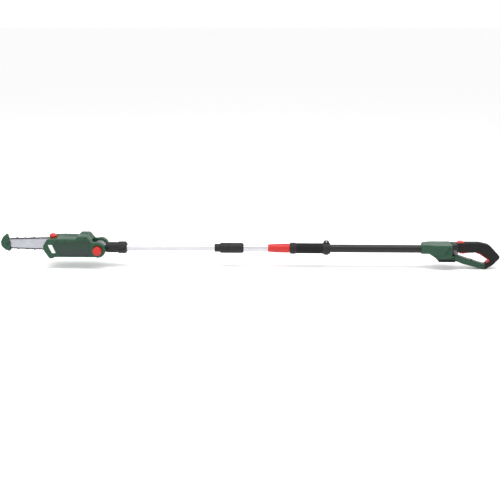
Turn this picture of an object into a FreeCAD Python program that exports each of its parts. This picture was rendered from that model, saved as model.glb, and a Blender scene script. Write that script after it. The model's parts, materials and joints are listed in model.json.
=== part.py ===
import FreeCAD, Part
import math
import os

os.makedirs("parts", exist_ok=True)

# Telescoping pole saw, in millimetres. The pieces are modelled about the pole's axis: X runs from the
# saw head (-X) to the handle (+X), Y across and Z up, with X = 0 at the strap ring. save() then moves
# the origin from the pole's axis up into the strap eye, where the whole tool hangs from its strap.

# ---- Driving dimensions --------------------------------------------------------------------------------

FIT = 0.05            # radial running clearance of a pin or shaft in its bore
SEAT = 0.05           # gap between a piece and the piece of the same body that it is pushed onto
SLIDE = 0.3           # gap between faces that move past each other
WALL = 3.0            # moulded shell wall

# pole
STRAP_RING_LENGTH = 32.8
STRAP_RING_WALL = 8.0
EYE_R = 3.5
EYE_ABOVE_TUBE = 12.5
EYE_WIDTH = 12.0
TELESCOPE_GAP = 1.8   # between the inner tube and the outer tube's bore, where the collet sits
OUTER_WALL = 1.5
OUTER_REAR = 470.0
GRIP_LENGTH = 116.8
GRIP_THICK = 5.3
GRIP_RIBS = 18
GRIP_RIB_DEPTH = 1.4
FRONT_RING_LENGTH = 27.4
FRONT_RING_STEP = 2.2
NUT_LENGTH = 95.5
NUT_FRONT_WALL = 2.4
NUT_REAR_WALL = 3.0
NUT_FLUTES = 12
NUT_GAP = 0.9
PLUG_GAP = 0.5        # between the front tube and the inner tube's bore
INNER_WALL = 1.2
INNER_SHOWN = 107.1   # inner tube showing between the coupler and the telescope nut
OVERLAP_MIN = 100.0   # inner tube left inside the outer tube when fully drawn out
TRAVEL_OUT = 400.0
COUPLER_LENGTH = 105.7
COUPLER_WALL = 8.6
COUPLER_NECK_LENGTH = 22.1
COUPLER_NECK_WALL = 5.5
FRONT_R = 12.5
FRONT_WALL = 1.2
FRONT_SHOWN = 388.4
PLUG_DEPTH = 55.0     # front tube inside the inner tube
COLLAR_LENGTH = 92.8
COLLAR_WALL = 5.4
COLLAR_STEP = 2.3     # its faceted rear half is larger
COLLAR_REAR_LENGTH = 38.0
COLLET_LENGTH = 14.0  # split bush that the telescope nut squeezes onto the inner tube
SCREW_R = 2.5         # every housing screw
SCREW_BELOW_TUBE = 5.3  # strap ring's clamp screw

# head pivot
EAR_R = 33.5
EAR_GAP = 0.6         # between each ear's inner face and the collar
EAR_THICK = 23.0
KNUCKLE_R = 27.0
KNUCKLE_TO_COLLAR = 2.4  # the collar's front reaches in between the ears
PIN_R = 5.0
BUTTON_R = 19.0
BUTTON_OUT = 18.0     # how far the button stands out of its ear
NECK_OVER_TUBE = 5.5  # the knuckle's neck is thicker than the front tube behind it

# saw head
HEAD_NEAR = 44.0      # half widths of the housing
SPLIT_Y = -2.0
PLATE_Y = 20.0
PLATE_THICK = 2.5
COVER_OUTER = 44.0
SPROCKET_FROM_PIVOT = 162.6
GEAR_MODULE = 1.6
GEAR_TEETH = 40
MOTOR_RISE = 5.5      # motor axis above the gear axis
PINION_TEETH = 10
MOTOR_R = 22.0
CAP_R = 16.0
CAP_HEIGHT = 16.0
PANEL_DEPTH = 1.9     # recess for the side panel
PLATE_MARGIN = 4.0    # gearbox plate inside the housing's outline
STUD_R = 4.0          # studs that clamp the bar
STUD_PLACES = (13.0, 33.0)  # studs in front of the bar's tail
BEARING_R = 9.5       # output bearings
BOSS_END = 8.5        # far end of the screw bosses, short of the gear
HEAD_SCREWS = ((-178, 39.5), (-190, -28.0), (-120, -29.0), (-50, -28.0), (-140, 39.5), (-52, 54.0))
COVER_REAR = 40.0     # how far the sprocket cover runs behind the sprocket's axis
SHOE_GAP = 0.3        # gap under the sprocket cover's shoe
CAP_X = -203.5        # oil cap, from the pivot
CAP_Y = 2.0
CAP_SEAT = 47.5       # lip that the cap turns on
NECK_OUT = 11.0       # tank neck's outside

# bar and chain
BAR_Y = 28.0
BAR_Z = 6.5
BAR_THICK = 4.0
BAR_REACH = 253.4     # nose centre to drive sprocket centre
SHOULDER_HALF = 26.3  # rivet line above the bar's middle at its widest
SHOULDER_BACK = 62.0  # widest place, in front of the sprocket
SHOULDER_ROUND = 70.0
NOSE_PITCH_R = 20.2
GROOVE_DEPTH = 7.0
GROOVE_WIDTH = 1.5
CHAIN_PITCH = 9.32    # low-profile chain, rivet to rivet
RIVET_LIFT = 2.2      # rivet line above the bar's edge
SPROCKET_PITCH_R = 20.0
DRIVE_TEETH = 7       # drive sprocket, one tooth for two rivet steps
NOSE_TEETH = 7
BAR_TAIL_TO_SPROCKET = 21.0
TENSION_TRAVEL = 3.0
LINK_R = 3.4          # rounded ends of the links
LINK_THICK = 1.2
DRIVE_THICK = 1.2
LINK_GAP = 0.06       # between neighbouring plates
RIVET_R = 1.7
TOOTH_TOP = 6.6       # cutting edge above the rivet line
NOSE_SPROCKET_R = 11.8
NOSE_PIN_R = 3.8      # hollow pin of the nose sprocket
TENSION_Y = 10.5      # tension screw's axis
TENSION_R = 2.5
GUARD_NEAR = 20.0
GUARD_FAR = 36.0
GUARD_WALL = 2.6
GUARD_REACH = 31.0    # guard in front of the nose centre

# handle
LOOP_HALF = 18.0      # half width of the soft grip
ARM_HALF = 16.5
HOUSING_HALF = 37.0
BATTERY_HALF = 33.0
HOUSING_TOP = 26.0    # housing over the battery
HOUSING_FRONT = 419.0
HOUSING_REAR = 547.0
BASE_Z = -39.0        # lower edge of the green housing; the battery's base is below it
BATTERY_FRONT = 489.0
BATTERY_LENGTH = 54.0
BATTERY_FLOOR = -49.0  # flat base that the tool rests on
BATTERY_TOP = -4.0
BASE_HALF = 25.0      # grip base
HOUSING_FOOT = 566.0  # the housing's lower part runs on under the grip base
BASE_STEP = -20.0     # where it steps back
WEDGE_REAR = 472.0    # the housing widens from its front to here
BASE_FRONT = 547.1    # grip base, behind the battery
LOOP_REAR = 760.0     # rearmost point of the grip loop
GRIP_TOP = 32.0       # grip's top above the pole's axis
TRIM_DEPTH = 3.5      # red trim band let into the grip
TRIM_OUT = 4.0
TRIM_HALF = 11.5
GRIP_ROUND = 8.0
SKIN = 4.5            # soft grip's thickness over its core
TRIGGER_PIN_X = 590.0  # axis that the trigger swings on
TRIGGER_PIN_Z = 2.0
TRIGGER_HALF = 9.0
LOCK_FRONT = 573.0    # lock-off button
LOCK_LENGTH = 33.0
LOCK_HALF = 12.0
HANDLE_SCREWS = ((476, -22.0, 37.0), (532, 16.0, 37.0), (640, -46.5, 15.0), (684, -70, 15.0))

# ---- Sizes and places that follow ----------------------------------------------------------------------

INNER_R = FRONT_R + PLUG_GAP + INNER_WALL
OUTER_R = INNER_R + TELESCOPE_GAP + OUTER_WALL
GRIP_R = OUTER_R + GRIP_THICK
FRONT_RING_R = GRIP_R + FRONT_RING_STEP
STRAP_RING_R = OUTER_R + STRAP_RING_WALL
EYE_HEIGHT = OUTER_R + EYE_ABOVE_TUBE
SCREW_Z = -OUTER_R - SCREW_BELOW_TUBE
NUT_FRONT_R = INNER_R + NUT_FRONT_WALL
NUT_REAR_R = OUTER_R + NUT_REAR_WALL
COUPLER_R = INNER_R + COUPLER_WALL
COUPLER_NECK_R = FRONT_R + COUPLER_NECK_WALL
NECK_R = FRONT_R + NECK_OVER_TUBE
COLLAR_R = NECK_R + COLLAR_WALL
COLLAR_REAR_R = COLLAR_R + COLLAR_STEP
EAR_INNER = COLLAR_R + EAR_GAP
EAR_OUTER = EAR_INNER + EAR_THICK

RING_FRONT = -STRAP_RING_LENGTH / 2
GRIP_FRONT = RING_FRONT - GRIP_LENGTH
FRONT_RING_FRONT = GRIP_FRONT - FRONT_RING_LENGTH
NUT_REAR = FRONT_RING_FRONT - NUT_GAP
NUT_FRONT = NUT_REAR - NUT_LENGTH
COUPLER_REAR = NUT_FRONT - INNER_SHOWN
COUPLER_FRONT = COUPLER_REAR - COUPLER_LENGTH
COUPLER_NECK_FRONT = COUPLER_FRONT - COUPLER_NECK_LENGTH
COUPLER_SPLIT = COUPLER_REAR - 0.62 * COUPLER_LENGTH
COLLAR_REAR = COUPLER_NECK_FRONT - FRONT_SHOWN
COLLAR_FRONT = COLLAR_REAR - COLLAR_LENGTH
PIVOT_X = COLLAR_FRONT - KNUCKLE_TO_COLLAR - KNUCKLE_R
OUTER_FRONT = NUT_FRONT + 52.0
INNER_REAR = OUTER_FRONT + TRAVEL_OUT + OVERLAP_MIN
INNER_FRONT = COUPLER_SPLIT + 6.0
FRONT_TUBE_REAR = INNER_FRONT + PLUG_DEPTH
FRONT_TUBE_FRONT = COLLAR_FRONT + 38.0

SPROCKET_X = PIVOT_X - SPROCKET_FROM_PIVOT
NOSE_X = SPROCKET_X - BAR_REACH


# ---- Making shapes -------------------------------------------------------------------------------------

def vec(x, y, z):
    return FreeCAD.Vector(x, y, z)


def box(x0, x1, y0, y1, z0, z1):
    return Part.makeBox(x1 - x0, y1 - y0, z1 - z0, vec(x0, y0, z0))


def rod_x(radius, x0, x1, y=0.0, z=0.0):
    return Part.makeCylinder(radius, x1 - x0, vec(x0, y, z), vec(1, 0, 0))


def rod_y(radius, y0, y1, x, z):
    return Part.makeCylinder(radius, y1 - y0, vec(x, y0, z), vec(0, 1, 0))


def rod_z(radius, z0, z1, x, y):
    return Part.makeCylinder(radius, z1 - z0, vec(x, y, z0), vec(0, 0, 1))


def tube_x(outer, inner, x0, x1):
    return rod_x(outer, x0, x1).cut(rod_x(inner, x0 - 1, x1 + 1))


def turned(points):
    """A solid turned about the pole's axis from (x, radius) points."""
    wire = Part.makePolygon([vec(x, 0, r) for x, r in points + points[:1]])
    return Part.Face(wire).revolve(vec(0, 0, 0), vec(1, 0, 0), 360)


def outline(corners):
    """A face in the XZ plane from (x, z, corner radius) corners, listed in order."""
    count = len(corners)
    edges = []
    starts = []
    ends = []
    mids = []
    for i, (x, z, radius) in enumerate(corners):
        here = vec(x, 0, z)
        back = vec(corners[i - 1][0], 0, corners[i - 1][1]) - here
        ahead = vec(corners[(i + 1) % count][0], 0, corners[(i + 1) % count][1]) - here
        back.normalize()
        ahead.normalize()
        half = back.getAngle(ahead) / 2
        if radius == 0:
            starts.append(here)
            ends.append(here)
            mids.append(None)
            continue
        reach = radius / math.tan(half)
        middle = back + ahead
        middle.normalize()
        starts.append(here + back * reach)
        ends.append(here + ahead * reach)
        mids.append(here + middle * (radius / math.sin(half) - radius))
    for i in range(count):
        if mids[i] is not None:
            edges.append(Part.Arc(starts[i], mids[i], ends[i]).toShape())
        if ends[i].distanceToPoint(starts[(i + 1) % count]) > 1e-6:
            edges.append(Part.makeLine(ends[i], starts[(i + 1) % count]))
    return Part.Face(Part.Wire(edges))


def slab(face, y0, y1):
    """The XZ face carried across from y0 to y1."""
    moved = face.copy()
    moved.translate(vec(0, y0, 0))
    return moved.extrude(vec(0, y1 - y0, 0))


def inset(face, distance):
    """The face with its outline moved inwards, or outwards where the distance is negative."""
    return face.makeOffset2D(-distance, 0, False, False, False)


def side_edges(shape, planes):
    """The outline edges that lie in the given Y planes."""
    found = []
    for edge in shape.Edges:
        low = edge.BoundBox.YMin
        high = edge.BoundBox.YMax
        if high - low < 1e-4 and any(abs(low - y) < 1e-3 for y in planes):
            found.append(edge)
    return found


def softened_slab(face, y0, y1, radius, planes):
    body = slab(face, y0, y1)
    return body.makeFillet(radius, side_edges(body, planes))


def save(shape, name):
    """Writes one piece, with the origin moved from the pole's axis into the strap eye."""
    placed = shape.copy()
    placed.translate(vec(0, 0, -EYE_HEIGHT))
    if placed.isNull() or not placed.isValid():
        raise ValueError(name + " isn't a valid shape")
    placed.exportStep("parts/" + name + ".step")
    print(name, len(placed.Solids), "solid(s), volume", round(placed.Volume))


# ---- Pole ----------------------------------------------------------------------------------------------

def make_outer_tube():
    return tube_x(OUTER_R, OUTER_R - OUTER_WALL, OUTER_FRONT, OUTER_REAR)


def make_grip_body():
    """Ribbed rubber sleeve on the outer tube."""
    body = tube_x(GRIP_R, OUTER_R + SEAT, GRIP_FRONT, RING_FRONT)
    groove = rod_x(GRIP_RIB_DEPTH, GRIP_FRONT + 6, RING_FRONT - 6, 0, GRIP_R)
    cuts = []
    for i in range(GRIP_RIBS):
        turn = groove.copy()
        turn.rotate(vec(0, 0, 0), vec(1, 0, 0), 360.0 * i / GRIP_RIBS)
        cuts.append(turn)
    return body.cut(cuts)


def make_grip_front_ring():
    """Thumb ring at the front of the sleeve, with shallow pockets round it."""
    ring = turned([(FRONT_RING_FRONT, OUTER_R + SEAT), (FRONT_RING_FRONT, FRONT_RING_R - 3),
                   (FRONT_RING_FRONT + 4, FRONT_RING_R), (GRIP_FRONT - 4, FRONT_RING_R),
                   (GRIP_FRONT, GRIP_R), (GRIP_FRONT, OUTER_R + SEAT)])
    middle = (FRONT_RING_FRONT + GRIP_FRONT) / 2
    pocket = Part.makeSphere(7.0, vec(middle, 0, FRONT_RING_R + 4.5))
    cuts = []
    for i in range(8):
        turn = pocket.copy()
        turn.rotate(vec(0, 0, 0), vec(1, 0, 0), 360.0 * i / 8)
        cuts.append(turn)
    return ring.cut(cuts)


def make_strap_ring():
    """Clamp ring with the carrying strap's eye on top and its clamp screw below."""
    rear = STRAP_RING_LENGTH / 2
    ring = turned([(RING_FRONT, OUTER_R + SEAT), (RING_FRONT, STRAP_RING_R - 2),
                   (RING_FRONT + 3, STRAP_RING_R), (rear - 3, STRAP_RING_R),
                   (rear, STRAP_RING_R - 2), (rear, OUTER_R + SEAT)])
    top = EYE_HEIGHT + EYE_R + 2.2
    lug = slab(outline([(-15, OUTER_R + 3, 0), (-9, top, 4.5), (9, top, 4.5), (15, OUTER_R + 3, 0)]),
               -EYE_WIDTH / 2, EYE_WIDTH / 2)
    foot = box(-9, 9, -8, 8, SCREW_Z - 4.7, -OUTER_R - 2)
    body = ring.fuse([lug, foot]).cut(rod_x(OUTER_R + SEAT, RING_FRONT - 1, rear + 1))
    body = body.cut(rod_y(EYE_R, -EYE_WIDTH, EYE_WIDTH, 0, EYE_HEIGHT))
    slot = box(RING_FRONT - 1, rear + 1, -0.6, 0.6, SCREW_Z - 7, -OUTER_R + 3)
    screw = rod_y(SCREW_R + SEAT, -9, 9, 0, SCREW_Z)
    head = rod_y(4.2 + SEAT, -20, -8, 0, SCREW_Z)
    return body.cut([slot, screw, head]).removeSplitter()


def make_strap_ring_screw():
    shank = rod_y(SCREW_R, -8.5, 8.0, 0, SCREW_Z)
    head = rod_y(4.2, -11.2, -8.0 - SEAT, 0, SCREW_Z)
    socket = hexagon_y(4.0, -12.0, -9.4, 0, SCREW_Z)
    return head.fuse(shank).cut(socket).removeSplitter()


def hexagon_y(across, y0, y1, x, z):
    """A hexagonal prism along Y, across flats."""
    radius = across / math.sqrt(3)
    points = []
    for i in range(6):
        angle = math.radians(60 * i)
        points.append(vec(x + radius * math.cos(angle), y0, z + radius * math.sin(angle)))
    return Part.Face(Part.makePolygon(points + points[:1])).extrude(vec(0, y1 - y0, 0))


def make_telescope_nut():
    """Fluted clamp nut that closes the collet on the inner tube."""
    taper = NUT_FRONT + 0.34 * NUT_LENGTH
    bore_front = INNER_R + 2 * SLIDE
    bore_rear = OUTER_R + SLIDE
    seat_x = OUTER_FRONT - COLLET_LENGTH - SLIDE
    body = turned([(NUT_FRONT, bore_front), (NUT_FRONT, NUT_FRONT_R - 1), (NUT_FRONT + 2, NUT_FRONT_R),
                   (taper, NUT_REAR_R - 1.2), (NUT_REAR - 1.5, NUT_REAR_R), (NUT_REAR, NUT_REAR_R - 1.5),
                   (NUT_REAR, bore_rear), (seat_x + 4, bore_rear), (seat_x, bore_front)])
    flute = rod_x(1.3, taper, NUT_REAR - 8, 0, NUT_REAR_R + 0.4)
    cuts = []
    for i in range(NUT_FLUTES):
        turn = flute.copy()
        turn.rotate(vec(0, 0, 0), vec(1, 0, 0), 360.0 * i / NUT_FLUTES)
        cuts.append(turn)
    return body.cut(cuts)


def make_telescope_collet():
    """Split wedge ring in the mouth of the outer tube, between it and the inner tube."""
    front = OUTER_FRONT - COLLET_LENGTH
    lip = OUTER_R - 0.5
    body = turned([(front, INNER_R + SLIDE), (front + 4, lip), (OUTER_FRONT - SEAT, lip),
                   (OUTER_FRONT - SEAT, OUTER_R - OUTER_WALL - SEAT),
                   (OUTER_FRONT + 20, OUTER_R - OUTER_WALL - SEAT), (OUTER_FRONT + 20, INNER_R + SLIDE)])
    return body.cut(box(front - 1, OUTER_FRONT + 21, -1.0, 1.0, 0, OUTER_R + 2))


def make_inner_tube():
    return tube_x(INNER_R, INNER_R - INNER_WALL, INNER_FRONT, INNER_REAR)


def make_coupler_body():
    """Rear half of the pole coupling, fixed on the inner tube."""
    return turned([(COUPLER_SPLIT, INNER_R + SEAT), (COUPLER_SPLIT, COUPLER_R - 0.8),
                   (COUPLER_SPLIT + 1.5, COUPLER_R), (COUPLER_REAR - 7, COUPLER_R),
                   (COUPLER_REAR - 2, COUPLER_R - 3), (COUPLER_REAR, COUPLER_R - 6),
                   (COUPLER_REAR, INNER_R + SEAT)])


def make_coupler_nut():
    """Front half of the coupling: the nut that grips the front tube, with its neck."""
    bore = FRONT_R + SLIDE
    rear = COUPLER_SPLIT - SLIDE
    body = turned([(COUPLER_NECK_FRONT, bore), (COUPLER_NECK_FRONT, COUPLER_NECK_R - 1),
                   (COUPLER_NECK_FRONT + 2, COUPLER_NECK_R), (COUPLER_FRONT, COUPLER_NECK_R),
                   (COUPLER_FRONT + 5, COUPLER_R), (rear - 1.5, COUPLER_R), (rear, COUPLER_R - 0.8),
                   (rear, bore)])
    flute = rod_x(1.2, COUPLER_FRONT + 7, rear - 4, 0, COUPLER_R + 0.4)
    cuts = []
    for i in range(12):
        turn = flute.copy()
        turn.rotate(vec(0, 0, 0), vec(1, 0, 0), 30.0 * i)
        cuts.append(turn)
    return body.cut(cuts)


def make_front_tube():
    return tube_x(FRONT_R, FRONT_R - FRONT_WALL, FRONT_TUBE_FRONT, FRONT_TUBE_REAR)


def make_head_collar():
    """Black sleeve that joins the front tube to the pivot knuckle; its rear half is faceted."""
    step = COLLAR_REAR - COLLAR_REAR_LENGTH
    front = turned([(COLLAR_FRONT, NECK_R + SEAT), (COLLAR_FRONT, COLLAR_R - 2),
                    (COLLAR_FRONT + 3, COLLAR_R), (step, COLLAR_R), (step, FRONT_R + SEAT),
                    (FRONT_TUBE_FRONT - 1, FRONT_R + SEAT), (FRONT_TUBE_FRONT - 1, NECK_R + SEAT)])
    points = []
    for i in range(12):
        angle = math.radians(30 * i + 15)
        reach = COLLAR_REAR_R / math.cos(math.radians(15))
        points.append(vec(step, reach * math.cos(angle), reach * math.sin(angle)))
    rear = Part.Face(Part.makePolygon(points + points[:1])).extrude(vec(COLLAR_REAR_LENGTH, 0, 0))
    cone = turned([(step, 0), (step, COLLAR_REAR_R - 0.5), (step + 4, COLLAR_REAR_R + 2),
                   (COLLAR_REAR - 6, COLLAR_REAR_R + 2), (COLLAR_REAR, FRONT_R + 6), (COLLAR_REAR, 0)])
    rear = rear.common(cone).cut(rod_x(FRONT_R + SEAT, step - 1, COLLAR_REAR + 1))
    body = front.fuse(rear)
    holes = []
    for x in collar_screw_places():
        holes.append(rod_y(SCREW_R + SEAT, -COLLAR_REAR_R - 1, -FRONT_R + 1, x, 0))
        holes.append(rod_y(4.4, -COLLAR_REAR_R - 3, -COLLAR_R + 3.5, x, 0))
    return body.cut(holes).removeSplitter()


def collar_screw_places():
    return (COLLAR_REAR - 12.0, COLLAR_REAR - 27.0)


def make_collar_screws():
    """Two cap screws through the collar's side that bite on the front tube."""
    screws = []
    for x in collar_screw_places():
        head = rod_y(4.2, -COLLAR_R + 0.4, -COLLAR_R + 3.5, x, 0)
        shank = rod_y(SCREW_R, -COLLAR_R + 3.4, -FRONT_R - 0.1, x, 0)
        socket = hexagon_y(4.0, -COLLAR_R - 1, -COLLAR_R + 2, x, 0)
        screws.append(head.fuse(shank).cut(socket).removeSplitter())
    return Part.makeCompound(screws)


def make_pivot_knuckle():
    """Die-cast knuckle: a drum between the ears, with a spigot into the collar."""
    drum = rod_y(KNUCKLE_R, -EAR_INNER + 0.4, EAR_INNER - 0.4, PIVOT_X, 0)
    neck = rod_x(NECK_R, PIVOT_X + 12, FRONT_TUBE_FRONT - 2)
    body = drum.fuse(neck)
    body = body.cut(rod_x(NECK_R - 4, PIVOT_X + KNUCKLE_R + 4, FRONT_TUBE_FRONT))
    return body.cut(rod_y(PIN_R + FIT, -EAR_INNER - 1, EAR_INNER + 1, PIVOT_X, 0)).removeSplitter()


# ---- Handle --------------------------------------------------------------------------------------------


def loop_outer():
    return outline([(540, GRIP_TOP, 0), (668, GRIP_TOP, 60), (712, GRIP_TOP - 10, 50),
                    (LOOP_REAR + 6, -33, 14), (735, -70, 50), (701, -90, 16), (604, -65, 60),
                    (540, -40, 0)])


def loop_inner():
    return outline([(576, -12, 5), (667, -12, 40), (724, -50, 7), (698, -67, 14), (596, -34, 20),
                    (576, -25, 4)])


def soft_region():
    """The part of the loop that the soft grip covers: the upper arm and the rear of the loop."""
    return outline([(574, 90, 0), (840, 90, 0), (840, -140, 0), (698, -140, 0), (698, -50, 0),
                    (650, -32, 0), (574, -18, 0)])


def battery_bay(gap):
    return box(BATTERY_FRONT + 1 - gap, BATTERY_FRONT + BATTERY_LENGTH - 1 + gap,
               -BATTERY_HALF - gap, BATTERY_HALF + gap, BASE_Z - 1, BATTERY_TOP + gap)


def trigger_slot(gap):
    """Room for the trigger and its swing."""
    face = outline([(TRIGGER_PIN_X - 7, TRIGGER_PIN_Z + 7, 3), (TRIGGER_PIN_X + 20, TRIGGER_PIN_Z + 6, 3),
                    (655, 0, 2), (655, -30, 0), (TRIGGER_PIN_X - 7, -30, 0)])
    return slab(face, -TRIGGER_HALF - gap, TRIGGER_HALF + gap)


def make_handle_block():
    """Both handle shells as one solid, before they are hollowed and split."""
    body = softened_slab(outline([(HOUSING_FRONT, 20, 3), (HOUSING_FRONT + 8, HOUSING_TOP - 1, 6),
                                  (HOUSING_REAR, HOUSING_TOP, 3), (HOUSING_REAR, BASE_STEP, 3),
                                  (HOUSING_FOOT, BASE_STEP - 8, 4), (HOUSING_FOOT, BASE_Z, 3),
                                  (BATTERY_FRONT, BASE_Z, 4), (478, -33, 8), (452, -16, 12),
                                  (434, 0, 10), (HOUSING_FRONT, 8, 3)]), -HOUSING_HALF, HOUSING_HALF, 6.0,
                         (-HOUSING_HALF, HOUSING_HALF))
    wedge = Part.Face(Part.makePolygon([vec(x, y, -80) for x, y in (
        (HOUSING_FRONT - 1, -21), (WEDGE_REAR, -HOUSING_HALF - 1), (700, -HOUSING_HALF - 1),
        (700, HOUSING_HALF + 1), (WEDGE_REAR, HOUSING_HALF + 1), (HOUSING_FRONT - 1, 21),
        (HOUSING_FRONT - 1, -21))])).extrude(vec(0, 0, 160))
    body = body.common(wedge)
    nozzle = turned([(HOUSING_FRONT - 3, 0), (HOUSING_FRONT - 3, 20), (HOUSING_FRONT, 22),
                     (460, 23), (460, 0)])
    lower = slab(loop_outer(), -ARM_HALF, ARM_HALF).cut(slab(loop_inner(), -ARM_HALF - 1, ARM_HALF + 1))
    lower = lower.makeChamfer(3.0, side_edges(lower, (-ARM_HALF, ARM_HALF)))
    lower = lower.cut([slab(soft_region(), -ARM_HALF - 1, ARM_HALF + 1),
                       box(500, HOUSING_FOOT - 1.5, -60, 60, -120, 60)])
    core = slab(inset(loop_outer(), SKIN), -LOOP_HALF + SKIN, LOOP_HALF - SKIN)
    core = core.cut(slab(inset(loop_inner(), -SKIN), -LOOP_HALF, LOOP_HALF))
    core = core.common(slab(soft_region(), -LOOP_HALF, LOOP_HALF))
    return body.fuse([nozzle, lower, core])


def handle_hollows():
    """Everything cut out of the handle shells: tube socket, bay, electronics room, trigger and button."""
    socket = rod_x(OUTER_R + SEAT, HOUSING_FRONT - 4, OUTER_REAR + SEAT)
    room = box(OUTER_REAR + 6, HOUSING_REAR - WALL, -HOUSING_HALF + 6, HOUSING_HALF - 6,
               BATTERY_TOP + 5, HOUSING_TOP - WALL)
    switch_room = box(HOUSING_REAR - WALL - 1, 640, -10, 10, 8.5, 24)
    lock_stem = box(LOCK_FRONT + 6, LOCK_FRONT + LOCK_LENGTH - 6, -8, 8, 20, GRIP_TOP + 9)
    spring_room = rod_z(4.5, 1, 12, 635, 0)
    pin = rod_y(2.0 + SEAT, -LOOP_HALF + 5.5, LOOP_HALF - 5.5, TRIGGER_PIN_X, TRIGGER_PIN_Z)
    return [socket, battery_bay(SLIDE + 0.3), room, switch_room, lock_stem, spring_room, pin,
            trigger_slot(0.6), grip_base_block(SEAT), lock_pocket(SLIDE), vent_block(SEAT),
            box(604, 612, -3.4, 3.4, 5, 12)]


def grip_base_block(gap):
    """Black column where the grip meets the housing."""
    return box(BASE_FRONT - gap, 574 - SEAT + gap, -BASE_HALF - gap, BASE_HALF + gap, BASE_STEP + 0.1 - gap,
               GRIP_TOP + 1)


def lock_pocket(gap):
    return box(LOCK_FRONT - gap, LOCK_FRONT + LOCK_LENGTH + gap, -LOCK_HALF - gap, LOCK_HALF + gap,
               GRIP_TOP - 7, GRIP_TOP + 10)


def handle_screw(x, z, half):
    """A countersunk case screw from the near side, with a cross recess."""
    half = max(half, ARM_HALF)
    near = -half + 1.5
    shank = rod_y(1.8, near, 6, x, z)
    head = rod_y(3.4, near, near + 2.5, x, z)
    slot = box(x - 2.2, x + 2.2, near - 1, near + 1, z - 0.5, z + 0.5)
    cross = box(x - 0.5, x + 0.5, near - 1, near + 1, z - 2.2, z + 2.2)
    return head.fuse(shank).cut([slot, cross]).removeSplitter()


def screw_room(x, z, half):
    half = max(half, ARM_HALF)
    return rod_y(3.4 + SEAT, -half - 8, -half + 4, x, z).fuse(rod_y(1.8 + SEAT, -half, 6 + SEAT, x, z))


def make_handle_shells():
    block = make_handle_block()
    for place in HANDLE_SCREWS:
        block = block.cut(screw_room(*place))
    block = block.cut(handle_hollows())
    left = block.common(box(400, 800, -60, -0.02, -150, 80))
    right = block.common(box(400, 800, 0.02, 60, -150, 80))
    return biggest(left), biggest(right)


def biggest(shape):
    """The largest solid of a cut shape, without the crumbs that a cut can leave."""
    return sorted(shape.Solids, key=lambda solid: solid.Volume)[-1]


def make_soft_grip():
    """Soft overmoulded skin round the upper arm and the rear of the loop."""
    ring = slab(loop_outer(), -LOOP_HALF, LOOP_HALF).cut(slab(loop_inner(), -LOOP_HALF - 1, LOOP_HALF + 1))
    ring = ring.makeFillet(GRIP_ROUND, side_edges(ring, (-LOOP_HALF, LOOP_HALF)))
    skin = ring.common(slab(soft_region(), -LOOP_HALF - 1, LOOP_HALF + 1))
    skin = skin.cut(box(500, 574 + SEAT, -30, 30, -100, 60))
    core = slab(inset(loop_outer(), SKIN - SEAT), -LOOP_HALF + SKIN - SEAT, LOOP_HALF - SKIN + SEAT)
    core = core.cut(slab(inset(loop_inner(), -SKIN + SEAT), -LOOP_HALF, LOOP_HALF))
    skin = skin.cut([core, trim_band(SEAT), trigger_slot(0.6), lock_pocket(SLIDE), vent_block(SEAT)])
    return biggest(skin)


def trim_band(gap):
    """Band let into the inner face of the loop behind the trigger."""
    band = slab(inset(loop_inner(), -TRIM_DEPTH - gap), -TRIM_HALF - gap, TRIM_HALF + gap)
    band = band.cut(slab(inset(loop_inner(), TRIM_OUT), -TRIM_HALF - 2, TRIM_HALF + 2))
    keep = outline([(658 - gap, 40, 0), (800, 40, 0), (800, -59, 0), (700, -59, 0), (658 - gap, -30, 0)])
    return band.common(slab(keep, -LOOP_HALF, LOOP_HALF))


def make_grip_base():
    """Column between housing and grip, hollow for the switch wires, with a slot for the grille."""
    block = grip_base_block(0).cut(box(BASE_FRONT - 1, 580, -60, 60, HOUSING_TOP - 0.5, 60))
    rear_corners = [edge for edge in block.Edges if is_upright(edge) and edge.BoundBox.XMin > 570]
    block = block.makeFillet(5.0, rear_corners)
    block = block.cut([vent_block(SEAT), box(BASE_FRONT - 1, 575, -10.5, 10.5, 0, 24.5)])
    return biggest(block)


def is_upright(edge):
    box_of = edge.BoundBox
    return box_of.ZLength > 10 and box_of.XLength < 0.1 and box_of.YLength < 0.1


def vent_block(gap):
    """Slanted grille let into the near side of the grip base."""
    face = outline([(552 - gap, 3 + gap, 1), (567 + gap, 1 + gap, 1), (571 + gap, BASE_STEP + 2 - gap, 1),
                    (560 - gap, BASE_STEP + 2 - gap, 1)])
    return slab(face, -BASE_HALF - 0.6, -BASE_HALF + 5 + gap)


def make_vent_insert():
    """Grey grille with slots that lets air into the handle."""
    plate = vent_block(0)
    cuts = []
    for i in range(4):
        z = -1.5 - 4.3 * i
        cuts.append(box(556, 566.5, -BASE_HALF - 2, -BASE_HALF + 2.5, z - 1.0, z + 0.6))
    return plate.cut(cuts)


def make_trigger():
    face = outline([(TRIGGER_PIN_X - 6, TRIGGER_PIN_Z + 5, 4), (TRIGGER_PIN_X + 18, TRIGGER_PIN_Z + 2, 3),
                    (650, -6, 1.5), (653, -14, 3), (622, -15, 10), (600, -19, 6), (584, -17, 3)])
    body = softened_slab(face, -TRIGGER_HALF, TRIGGER_HALF, 1.4, (-TRIGGER_HALF, TRIGGER_HALF))
    return body.cut(rod_y(2.0 + FIT, -20, 20, TRIGGER_PIN_X, TRIGGER_PIN_Z))


def make_trigger_pin():
    return rod_y(2.0, -LOOP_HALF + 5.6, LOOP_HALF - 5.6, TRIGGER_PIN_X, TRIGGER_PIN_Z)


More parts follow.
